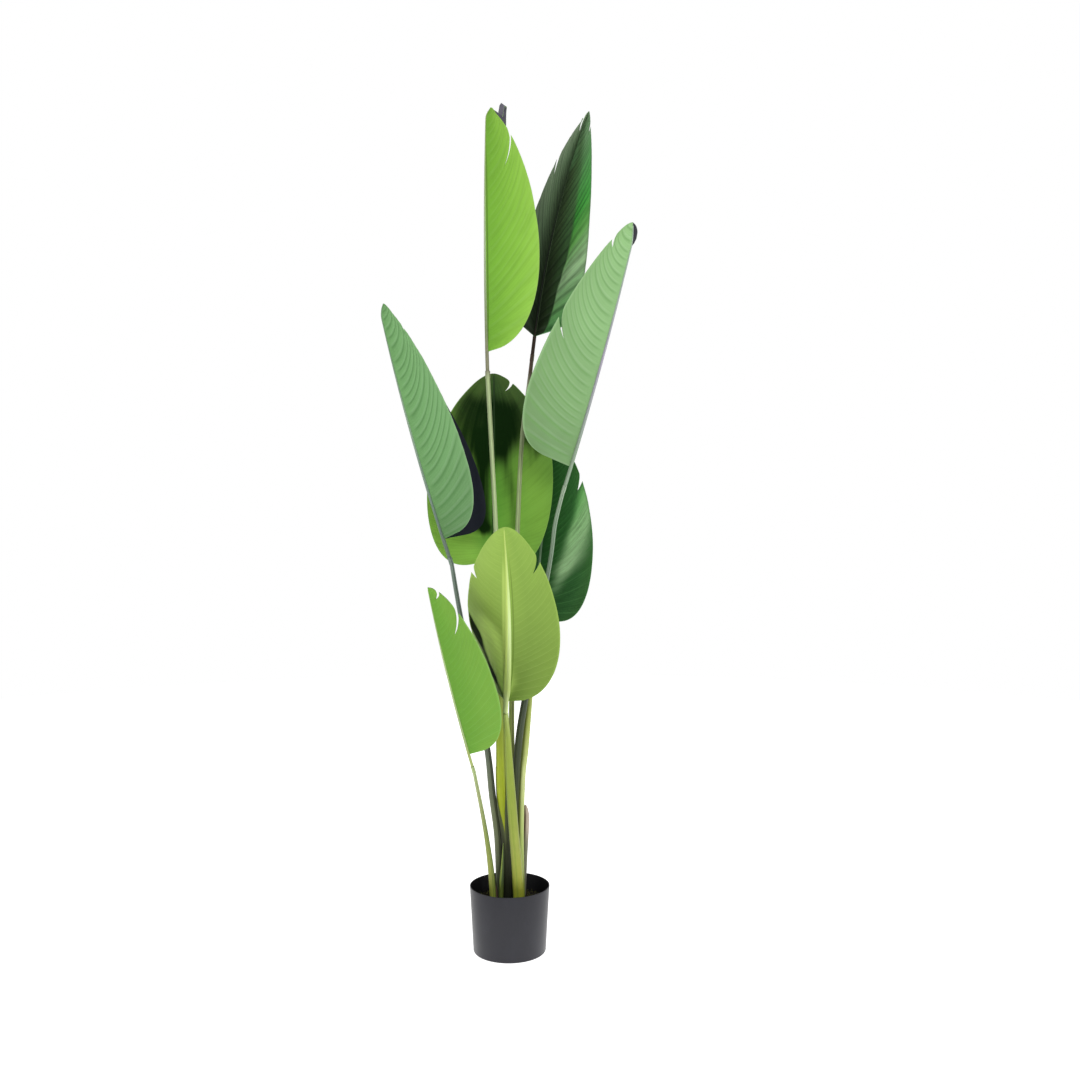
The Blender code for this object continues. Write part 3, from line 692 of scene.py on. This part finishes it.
# midribs, with the bare neck and the plug that stands in the stalk. wide and low shape the side that shows
# under the leaf, high the one above it, split the line between two strands. A colour after the neck's is
# that of the strand on side 1
ribForm = {
    "rings": 96, "sides": 20, "end": 0.985, "plugLength": 0.012, "gap": 0.0003, "splitPlace": 0.12,
    "splitWidth": 0.16,
}
# the dark rib tones of b and e are painted shade, like that on their blades
ribLooks = {  # wide, low, high, split, tones from base to tip, neck
    "a": (1.05, 1.0, 0.9, 0.15, ("8f9c72", "b7c79f", "9fb46c"), "9a9a7c"),
    "b": (0.95, 1.0, 0.9, 0.1, ("1a2118", "1b2519", "5c7a52"), "3a2c22"),
    "c": (1.0, 1.0, 0.9, 0.15, ("8fa18c", "a59fae", "a7bfa5"), "8fa38a"),
    "d": (0.95, 1.0, 0.9, 0.15, ("6f8478", "8fa58f", "7c9c78"), "6c7c70"),
    "e": (1.0, 1.0, 0.8, 0.1, ("35601f", "24461a", "1b3312"), "7f944c"),
    "f": (3.1, 1.15, 0.8, 0.5, ("c6dc7e", "d6eca4", "b4cc66"), "cfe096", "b9d06c"),
    "g": (1.1, 1.0, 0.9, 0.2, ("a9bd84", "b5c890", "8fb55c"), "a5b36c"),
    "h": (1.05, 0.9, 1.0, 0.1, ("7b947a", "6c876a", "4f7a4c"), "8c9c74"),
}


def makeMidrib(letter, leaf):
    form, size = ribForm, leaf["size"]
    widen, lower, higher, split, *tones = ribLooks[letter]
    base, baseAlong = midrib(leaf, 0.0)
    length = (Vector(leaf["tip"]) - Vector(leaf["base"])).length

    def placeAt(k, angle):
        share = (k - 2) / (form["rings"] - 3)
        d = (length * form["end"] + size["neck"]) * share - size["neck"] + 2 * form["gap"] * (1 - share)
        if k < 2:  # the plug
            d = form["gap"] - size["neck"] - (0 if k else form["plugLength"])
        s = max(0.0, d / length)
        point, along = midrib(leaf, s) if d >= 0 else (base + baseAlong * d, baseAlong)
        upper = upperSide(leaf, s, along)
        radius = size["rib"] + (size["tip"] - size["rib"]) * s ** 0.8
        spread = min(1.0, max(0.0, (d + size["neck"] * 0.7) / (size["neck"] * 1.6)))
        bare = leaf.get("neckWide", 1.0) if d < size["neck"] else 1.0
        wide = radius * max(bare, 1 + (widen - 1) * spread * min(1.0, (1 - s) * 2.5))
        low, high = radius * lower, radius * higher
        if k < 2:
            wide = low = high = size["plug"]
        x, y = math.cos(angle), math.sin(angle)
        dent = split * spread * math.exp(-((x - form["splitPlace"]) / form["splitWidth"]) ** 2)
        y = y * high if y > 0 else y * low * (1 - dent)
        return point + along.cross(upper) * (x * wide) + upper * y

    rib = rolledTube("midrib" + letter.upper(), form["rings"], form["sides"], placeAt)
    rideAs(rib, "leaf_" + letter, material=ribMaterial(rib.name, *tones))


def ribMaterial(name, tones, neck, strandTone=None):
    material = newMaterial(name, 0.48, 0.2)
    place = addNode("UVMap")
    up = part(place, 1)
    color = ramp(up, list(zip((0.0, 0.1, 0.16, 0.5, 1.0), (neck, neck, *tones))))
    if strandTone:
        strand = span(sums("COSINE", times(part(place, 0), 2 * math.pi)), 0.02, 0.14)
        color = mixed(times(strand, span(up, 0.1, 0.25)), color, tone(strandTone))
    fibre = fibres(26, 3, 4.0)
    paint(mottled(0.8, color, fibre, 0.72, 1.12), fibre, 0.0004)
    return material


for letter, leaf in leaves.items():
    makeMidrib(letter, leaf)
print("midribs laid")


# stalks: the same routes as the solids, with a channel down the front and a sleeve at the top. foot is
# (x, y, radius), channel (bearing, share of the radius), flank the shaded side (bearing, half width in
# degrees, colour, amount, up to this height), collar the sleeve's radius, lean moves the sleeve's foot in X,
# route is of (x, y, z, radius), tones of (height, colour) and seam is the colour of painted shade down the
# channel
stalks = {
    "a": dict(
        foot=(-0.005, -0.002, 0.0078), channel=(322, 0.1), flank=(178, 36, "5a5a22", 0.5, 0.4), route=(
            (-0.0062, -0.002, 0.205, 0.0084), (-0.0138, -0.004, 0.285, 0.0106),
            (-0.0168, -0.004, 0.39, 0.009), (-0.019, -0.004, 0.56, 0.0054), (-0.0245, -0.008, 0.76, 0.0044),
            (-0.0331, -0.015, 0.93, 0.0042),
        ), tones=[
            (0.09, "5c6e1a"), (0.2, "97a31a"), (0.3, "a8b628"), (0.42, "98a93a"), (0.56, "a6b96c"),
            (0.8, "c4d8a0"), (1.07, "c1d39d"), (1.09, "958e7d"),
        ], channelShade="6f7a3a",
    ),
    "b": dict(
        foot=(0.003, 0.031, 0.0062), channel=(292, 0.12), flank=(0, 50, "5f6a3c", 0.5, 1.2), collar=0.004,
        route=(
            (0.004, 0.031, 0.28, 0.0058), (0.003, 0.024, 0.46, 0.0052), (0.011, 0.006, 0.64, 0.0046),
            (0.0136, 0.004, 0.76, 0.0044), (0.0189, 0.02, 0.9, 0.0043), (0.0247, 0.05, 0.991, 0.0042),
            (0.0336, 0.07, 1.06, 0.0042),
        ), tones=[
            (0.09, "5c6630"), (0.35, "7f8c45"), (0.55, "9aa862"), (0.7, "b5c98f"), (0.9, "a9bd84"),
            (1.07, "a9b08f"), (1.1, "6c5a4c"), (1.14, "4a3a30"),
        ], channelShade="4a4034",
    ),
    "c": dict(
        foot=(0.0062, 0.013, 0.0072), channel=(285, 0.1), flank=(185, 75, "343c28", 0.8, 0.52), collar=0.0038,
        route=(
            (0.011, 0.012, 0.28, 0.0074), (0.0152, 0.006, 0.375, 0.0069), (0.0286, 0.0, 0.47, 0.0062),
            (0.074, -0.018, 0.72, 0.004), (0.085, -0.023, 0.8, 0.0038),
        ), tones=[
            (0.09, "3c402a"), (0.28, "424b28"), (0.38, "3f4a30"), (0.5, "505a48"), (0.62, "7a8c76"),
            (0.8, "8ea58b"), (0.86, "9db096"),
        ], channelShade="30382c",
    ),
    "d": dict(
        foot=(-0.0195, 0.007, 0.0064), channel=(300, 0.1), flank=(0, 42, "262a1e", 0.75, 0.46), collar=0.0042,
        route=(
            (-0.0226, 0.006, 0.205, 0.0068), (-0.033, 0.003, 0.29, 0.0066), (-0.042, 0.0, 0.375, 0.0058),
            (-0.062, -0.004, 0.49, 0.005), (-0.09, -0.012, 0.62, 0.0044),
        ), tones=[
            (0.09, "666e56"), (0.25, "6f7756"), (0.4, "626b60"), (0.5, "566059"), (0.62, "6e7970"),
            (0.75, "809385"),
        ], channelShade="20241c",
    ),
    "e": dict(
        foot=(-0.012, 0.027, 0.0058), channel=(270, 0.12), flank=(180, 50, "5d7034", 0.5, 0.8),
        route=((-0.0125, 0.03, 0.28, 0.0054), (-0.018, 0.036, 0.46, 0.005), (-0.027, 0.046, 0.6, 0.0046)),
        tones=[(0.09, "6f7a35"), (0.4, "8fa35a"), (0.7, "a3b570")], channelShade="55662c",
    ),
    "f": dict(
        foot=(0.018, -0.026, 0.0102), channel=(262, 0.07), flank=(185, 38, "6f8236", 0.5, 0.4), collar=0.0052,
        lean=0.0022, route=(
            (0.014, -0.027, 0.165, 0.01), (0.0085, -0.029, 0.23, 0.0092), (0.0034, -0.032, 0.3, 0.0086),
            (-0.0014, -0.038, 0.39, 0.006),
        ), tones=[
            (0.09, "a4b124"), (0.13, "a0a63e"), (0.2, "98a249"), (0.3, "8d9e3e"), (0.4, "96a948"),
            (0.45, "a8bb68"),
        ], channelShade="8ea03c",
    ),
    "g": dict(
        foot=(-0.03, -0.02, 0.006), channel=(290, 0.1), flank=(0, 50, "5a7030", 0.7, 0.3), route=(
            (-0.0338, -0.021, 0.15, 0.0058), (-0.0405, -0.024, 0.205, 0.0046), (-0.05, -0.031, 0.265, 0.0038),
        ), tones=[(0.09, "a4b23f"), (0.14, "989f4e"), (0.22, "8d9a52"), (0.3, "a3ab78"), (0.36, "a9bd84")],
        channelShade="5f7a34",
    ),
    "h": dict(
        foot=(0.0222, 0.009, 0.0062), channel=(238, 0.1), flank=(195, 48, "66702c", 0.85, 0.48),
        collar=0.0042, route=(
            (0.0212, 0.009, 0.215, 0.0052), (0.0235, 0.014, 0.32, 0.006), (0.0285, 0.02, 0.372, 0.0067),
            (0.033, 0.028, 0.42, 0.006), (0.041, 0.05, 0.51, 0.0046),
        ), tones=[(0.09, "91a23d"), (0.2, "adc16b"), (0.32, "c3cd88"), (0.42, "adbb5f"), (0.6, "a2b16d")],
        channelShade="6c7a38",
    ),
}
stalkForm = {
    "rings": 84, "sides": 26, "bottom": 0.0303, "soilTop": 0.094, "collarLength": 0.014, "channelWidth": 15,
    "ridge": 0.035, "ridgeAway": 48, "ridgeWidth": 18, "fade": 6,
    "sleeve": ((0.08, 1.0), (0.12, 1.04), (0.5, 1.0), (0.86, 1.0), (0.93, 1.06), (1.0, 1.0)),
}


def smoothPath(points, steps):
    padded = [points[0]] + list(points) + [points[-1]]
    spans = len(points) - 1
    result = []
    for k in range(steps + 1):
        place = k / steps * spans
        i = min(int(place), spans - 1)
        t = place - i
        result.append([
            b + (c - a) / 2 * t + (a - 2.5 * b + 2 * c - d / 2) * t ** 2
            + (1.5 * (b - c) + (d - a) / 2) * t ** 3 for a, b, c, d in zip(*padded[i:i + 4])])
    return result


def footedPath(form, route, steps):  # straight from the socket's floor to the soil's top, then smooth
    x, y, radius = form["foot"]
    foot, top = ((x, y, stalkForm[level], radius) for level in ("bottom", "soilTop"))
    return [foot] + smoothPath([top, *route], steps)


def ringPoint(path, k, center, angle, radius):  # round the path's place k, the angle from +X
    ahead, behind = path[min(k + 1, len(path) - 1)], path[max(k - 1, 0)]
    along = (Vector(ahead[:3]) - Vector(behind[:3])).normalized()
    first = Vector((1, 0, 0))
    first = (first - along * along.x).normalized()
    return Vector(center) + (first * math.cos(angle) + along.cross(first) * math.sin(angle)) * radius


def stalkPath(letter):
    stalk, size = stalks[letter], leaves[letter]["size"]
    base, along = midrib(leaves[letter], 0.0)
    end = base - along * size["neck"]
    low = end - along * stalkForm["collarLength"] + Vector((stalk.get("lean", 0.0), 0, 0))
    collar = stalk.get("collar", size["collar"])
    path = footedPath(stalk, (*stalk["route"], (*low, collar * 0.93)), stalkForm["rings"])
    for share, swell in stalkForm["sleeve"]:
        path.append((*low.lerp(end, share), collar * swell))
    neckWide = leaves[letter].get("neckWide", 1.0)
    path.append((*end, size["rib"] * 0.9 * neckWide))  # the lip turns in to the neck
    return path


def makeStalk(letter, stalk):
    path, form = stalkPath(letter), stalkForm
    channel, depth = stalk["channel"]
    last = len(path) - 2 - len(form["sleeve"])

    def placeAt(k, angle):
        away = (math.degrees(angle) - channel + 180) % 360 - 180
        fade = min(1.0, max(0.0, (last - k) / form["fade"])) * min(1.0, k / form["fade"])
        radius = path[k][3] * (1 - depth * fade * math.exp(-(away / form["channelWidth"]) ** 2))
        beside = (abs(away) - form["ridgeAway"]) / form["ridgeWidth"]
        radius *= 1 + form["ridge"] * fade * math.exp(-beside ** 2)
        return ringPoint(path, k, path[k][:3], angle, radius)

    piece = rolledTube("stalk" + letter.upper(), len(path), form["sides"], placeAt)
    rideAs(piece, "stem_" + letter, "stem_" + letter, material=stalkMaterial(piece.name, stalk))


def bearingAway(turn, bearing):  # degrees round the stalk from a bearing
    off = apart(times(turn, 360.0), bearing)
    return sums("MINIMUM", off, sums("SUBTRACT", 360.0, off))


def stalkMaterial(name, stalk):
    material = newMaterial(name, 0.45, 0.22)
    height = part(objectPlace(), 2)
    top = stalk["tones"][-1][0]
    color = ramp(sums("DIVIDE", height, top), [(z / top, code) for z, code in stalk["tones"]])
    turn = part(addNode("UVMap"), 0)
    # the shaded flank, then a line of painted shade down the channel
    bearing, spread, code, amount, upTo = stalk["flank"]
    flank = span(bearingAway(turn, bearing), spread * 1.25, spread * 0.75, amount)
    color = mixed(times(flank, span(height, upTo, upTo - 0.06)), color, tone(code))
    line = span(bearingAway(turn, stalk["channel"][0]), 17.0, 4.0, 0.6)
    color = mixed(line, color, tone(stalk["channelShade"]))
    fibre = fibres(30, 4, 5.0, 0.6)
    color = mottled(0.7, color, fibre, 0.78, 1.1)
    color = mottled(0.4, color, noisy(objectPlace(), 45.0), 0.85, 1.08)
    paint(color, fibre, 0.0003)
    return material


for letter, stalk in stalks.items():
    makeStalk(letter, stalk)
print("stalks raised")


# sheath stubs among the stalks: sideTones is (left colour, right colour), partly the sheath's own colour and
# partly painted light and shade on its two sides, lap is where one edge laps the other (bearing, height, how
# soon, width)
sheaths = {
    "brown": dict(
        foot=(0.0255, 0.0255, 0.0044), route=(
            (0.0275, 0.027, 0.165, 0.0054), (0.03, 0.0285, 0.215, 0.0058), (0.0306, 0.029, 0.242, 0.0058),
            (0.03, 0.029, 0.254, 0.0048), (0.0292, 0.029, 0.262, 0.0028), (0.0288, 0.029, 0.265, 0.0008),
        ), sideTones=("64483c", "bdae9c"), low="7c7e66",
    ),
    "green": dict(
        foot=(-0.016, -0.0175, 0.0042), route=(
            (-0.015, -0.0165, 0.13, 0.0042), (-0.013, -0.015, 0.165, 0.0028),
            (-0.0115, -0.014, 0.204, 0.0005),
        ), sideTones=("8fa548", "53663a"), low="66782f",
    ),
    "dark": dict(
        foot=(-0.0245, -0.006, 0.0032), route=(
            (-0.0275, -0.006, 0.125, 0.003), (-0.033, -0.008, 0.15, 0.002), (-0.0365, -0.01, 0.176, 0.0004),
        ), sideTones=("8d6f66", "3d4230"), low="7a5f56",
    ),
}
sheathForm = {"steps": 40, "sides": 28, "lap": (262, 0.14, 4, 60)}


def makeSheath(name, sheath):
    path = footedPath(sheath, sheath["route"], sheathForm["steps"])
    bearing, high, soon, wide = sheathForm["lap"]

    def placeAt(k, angle):
        away = (math.degrees(angle) - bearing + 180) % 360 - 180
        lap = 1 + high * (1 / (1 + math.exp(-away / soon)) - 0.5) * math.exp(-(away / wide) ** 2)
        return ringPoint(path, k, path[k][:3], angle, path[k][3] * lap)

    piece = rolledTube("sheath" + name.capitalize(), len(path), sheathForm["sides"], placeAt)
    material = newMaterial(piece.name, 0.6, 0.3)
    place = addNode("UVMap")
    left, right = (tone(code) for code in sheath["sideTones"])
    color = mixed(span(apart(part(place, 0), 0.5), 0.2, 0.26), left, right)
    color = mixed(span(part(place, 1), 0.42, 0.22), color, tone(sheath["low"]))
    fibre = fibres(24, 3)
    paint(mottled(0.8, color, fibre, 0.7, 1.15), fibre, 0.0005)
    rideAs(piece, "sheath_" + name, "sheath_" + name, material=material)


for name, sheath in sheaths.items():
    makeSheath(name, sheath)


# a dark wrap round the foot of the tallest stalk, open in a V at the front, darkest towards the bottom
wrap = {
    "stalk": "a", "gap": 0.0007, "thickness": 0.0006, "front": 262, "bottom": 0.085, "notch": 0.2185,
    "top": 0.345, "open": 95, "ruffle": 0.0004, "columns": 64, "rows": 48,
    "tones": ("1e2214", "363c22", "57603a"),
}


def makeWrap():
    path = stalkPath(wrap["stalk"])
    piece = newGrid("wrapA", wrap["columns"], wrap["rows"])
    for v in piece.data.vertices:
        turn = v.co.x * 180  # degrees from the front
        upTo = wrap["notch"] + (wrap["top"] - wrap["notch"]) * min(1.0, abs(turn) / wrap["open"]) ** 0.8
        z = wrap["bottom"] + (upTo - wrap["bottom"]) * (v.co.y + 1) / 2
        k = max(i for i, place in enumerate(path) if place[2] <= z)
        t = (z - path[k][2]) / (path[k + 1][2] - path[k][2])
        x, y, z, radius = (a + (b - a) * t for a, b in zip(path[k], path[k + 1]))
        radius += wrap["gap"] + wrap["ruffle"] * (v.co.y + 1) * math.sin(turn * 0.1)
        v.co = ringPoint(path, k, (x, y, z), math.radians(wrap["front"] + turn), radius)
    closeUp(piece, holes=False)
    thicken(piece, wrap["thickness"])
    smoothed(50)
    material = newMaterial("darkWrap", 0.6, 0.25)
    color = ramp(part(addNode("UVMap"), 1), list(zip((0.0, 0.7, 1.0), wrap["tones"])))
    fibre = fibres(40, 4)
    paint(mottled(0.8, color, fibre, 0.65, 1.2), fibre, 0.0005)
    rideAs(piece, "stem_a", material=material)


makeWrap()
print("sheaths wrapped")


# pot: a plain tapered nursery pot
pot = {
    "height": 0.122, "rim": 0.075, "base": 0.068, "wall": 0.0018, "floor": 0.003, "chamfer": 0.002,
    "rounding": 0.0005, "margin": 0.0001, "sides": 144,
    # inside is the inner wall's colour, darker than the outside as painted shade
    "tone": "222229", "worn": "2e2e37", "inside": "141418",
}


def makePot():
    deselectAll()
    bpy.ops.mesh.primitive_cylinder_add(
        vertices=pot["sides"], radius=pot["base"], depth=pot["height"], location=(0, 0, pot["height"] / 2))
    piece = named("nurseryPot")
    bpy.ops.object.transform_apply(location=True, rotation=False, scale=False)
    for item in (*piece.data.vertices, *piece.data.edges):
        item.select = False
    for face in piece.data.polygons:
        face.select = face.normal.z > 0.9
    bpy.ops.object.mode_set(mode="EDIT")
    bpy.ops.mesh.select_mode(type="FACE")
    grow = pot["rim"] / pot["base"]
    bpy.ops.transform.resize(value=(grow, grow, 1))
    bpy.ops.mesh.inset(thickness=pot["wall"])
    bpy.ops.mesh.extrude_region_move(TRANSFORM_OT_translate={"value": (0, 0, pot["floor"] - pot["height"])})
    shrink = (pot["base"] + pot["margin"] - pot["wall"]) / (pot["rim"] - pot["wall"])
    bpy.ops.transform.resize(value=(shrink, shrink, 1))
    markEdges(piece, lambda a, b: min(a.z, b.z) > pot["height"] - pot["margin"])
    bpy.ops.mesh.bevel(offset=pot["rounding"], segments=3)
    bpy.ops.mesh.select_all(action="DESELECT")
    markEdges(piece, lambda a, b: (
        max(a.z, b.z) < pot["margin"] and min(a.xy.length, b.xy.length) > pot["base"] * 0.99))
    bpy.ops.mesh.bevel(offset=pot["chamfer"], segments=3)
    bpy.ops.mesh.select_all(action="SELECT")
    shutMesh(outward=True)
    smoothed(30)

    material = newMaterial("charcoalPlastic", 0.4, 0.34)
    place = objectPlace()
    scuff = noisy(addNode("Mapping", {"Vector": place, "Scale": (1, 1, 0.5)}), 26.0, 5.0)
    color = mixed(span(scuff, 0.45, 0.85, 0.5), tone(pot["tone"]), tone(pot["worn"]))
    # the inner wall darker: painted shade inside the pot
    flat = addNode("VectorMath", {0: place, 1: (1, 1, 0)}, operation="MULTIPLY")
    away = addNode("VectorMath", {0: flat}, "Value", operation="LENGTH")
    taper = (pot["rim"] - pot["base"]) / pot["height"]
    wallAt = times(part(place, 2), taper, pot["base"] - pot["wall"] * 0.5)
    innerShade = span(sums("SUBTRACT", wallAt, away), -0.0001, 0.0003)
    feed("Roughness", times(scuff, 0.14, 0.3))
    grain = noisy(place, 1400.0, 2.0)
    paint(mixed(innerShade, color, tone(pot["inside"])), times(grain, 0.5, times(scuff, 0.4)), 0.00012)
    rideAs(piece, "pot", "pot", material=material)


makePot()
print("pot moulded")


# filling: a lumpy dark crown with crumbs and tufts of moss
filling = {
    "top": 0.09, "crown": 0.004, "bottom": 0.0033, "gap": 0.0001, "steps": 96,
    "lumps": ((0.0022, 70, 0.3), (0.001, 240, 1.7)),  # height, closeness, seed
    "tones": ("0f0d0a", "241f16", "35321d"), "crumbTones": ("17130e", "2c251a", "4a4028"),
    "moss": ("39411a", "6c7434", "8c8a4a"), "crumbs": 420, "crumbSize": (0.0007, 0.0021), "tufts": 620,
    "tuftLength": (0.003, 0.0075), "tuftLean": (0.2, 1.2), "tuftWidth": (0.00025, 0.0005), "tuftRoot": 0.0008,
}


def potInside(z):
    return pot["base"] + (pot["rim"] - pot["base"]) * z / pot["height"] - pot["wall"]


def crownHeight(x, y):
    share = min(1.0, math.hypot(x, y) / potInside(filling["top"]))
    z = filling["top"] + filling["crown"] * (1 - share ** 2.2)
    for amount, closeness, seed in filling["lumps"]:
        z += amount * noise.noise((x * closeness, y * closeness, seed))
    return z


def earthMaterial(name, tones, scale):
    material = newMaterial(name, 0.9, 0.2)
    coarse = noisy(objectPlace(), scale, 5.0, 0.65)
    paint(ramp(coarse, list(zip((0.32, 0.5, 0.72), tones))), coarse, 0.001)
    return material


def makeFilling():
    piece = newGrid("pottingFill", filling["steps"], filling["steps"])
    edge = potInside(filling["top"]) - filling["gap"]
    for v in piece.data.vertices:
        x, y = v.co.x, v.co.y
        flat = Vector((x * math.sqrt(1 - y * y / 2), y * math.sqrt(1 - x * x / 2))) * edge  # square to disc
        v.co = (flat.x, flat.y, crownHeight(flat.x, flat.y))
    openMesh()
    bpy.ops.mesh.region_to_loop()
    bpy.ops.mesh.extrude_edges_move(TRANSFORM_OT_translate={"value": (0, 0, -0.05)})
    shutMesh()
    low = (potInside(filling["bottom"]) - filling["gap"]) / edge
    for v in piece.data.vertices:
        if v.select:
            v.co = (v.co.x * low, v.co.y * low, filling["bottom"])
    bpy.ops.object.mode_set(mode="EDIT")
    bpy.ops.mesh.edge_face_add()
    bpy.ops.mesh.select_all(action="SELECT")
    shutMesh(outward=True)
    smoothed(60)
    rideAs(piece, "soil", "soil", material=earthMaterial("darkFill", filling["tones"], 160.0))


def scattered(name, template, count, material, shapeAt):
    faces, points = [], []
    for k in range(count):
        radius = potInside(filling["top"]) * 0.97 * math.sqrt(random.random())
        angle = random.uniform(0, 2 * math.pi)
        x, y = radius * math.cos(angle), radius * math.sin(angle)
        start = len(points)
        points += shapeAt(template, x, y, crownHeight(x, y))
        faces += [[i + start for i in face.vertices] for face in template.data.polygons]
    mesh = bpy.data.meshes.new(name)
    mesh.from_pydata(points, [], faces)
    piece = bpy.data.objects.new(name, mesh)
    bpy.context.scene.collection.objects.link(piece)
    pick(piece)
    smoothed(40)
    bpy.data.objects.remove(template)
    rideAs(piece, "soil", material=material)


def crumbAt(template, x, y, z):
    size = random.uniform(*filling["crumbSize"])
    seed = random.uniform(0, 50)
    result = []
    for v in template.data.vertices:
        c = v.co * (1 + 0.5 * noise.noise(v.co * 1.5 + Vector((seed, 0, 0))))
        result.append((x + c.x * size, y + c.y * size, z + c.z * size * 0.8))
    return result


def tuftAt(template, x, y, z):
    turn = random.uniform(0, 2 * math.pi)
    length, lean, width = (random.uniform(*filling[name]) for name in ("tuftLength", "tuftLean", "tuftWidth"))
    result = []
    for v in template.data.vertices:
        up = v.co.z
        thin = width * (1 - 0.85 * up)
        out, aside = lean * up * up * length + v.co.y * thin, v.co.x * thin
        result.append((
            x + out * math.cos(turn) - aside * math.sin(turn),
            y + out * math.sin(turn) + aside * math.cos(turn),
            z - filling["tuftRoot"] + up * length * (1 - 0.25 * lean * up)))
    return result


makeFilling()
deselectAll()
bpy.ops.mesh.primitive_ico_sphere_add(subdivisions=1, radius=1)
scattered("fillCrumbs", bpy.context.object, filling["crumbs"],
          earthMaterial("darkCrumbs", filling["crumbTones"], 300.0), crumbAt)
bpy.ops.mesh.primitive_cylinder_add(
    vertices=3, radius=1, depth=1, location=(0, 0, 0.5), end_fill_type="TRIFAN")
bpy.ops.object.transform_apply(location=True, rotation=False, scale=False)
openMesh()
for height in (0.4, 0.75):
    bpy.ops.mesh.select_all(action="SELECT")
    bpy.ops.mesh.bisect(plane_co=(0, 0, height), plane_no=(0, 0, 1))
shutMesh()
scattered("mossTufts", bpy.context.object, filling["tufts"],
          earthMaterial("dryMoss", filling["moss"], 220.0), tuftAt)
print("filling and moss laid")
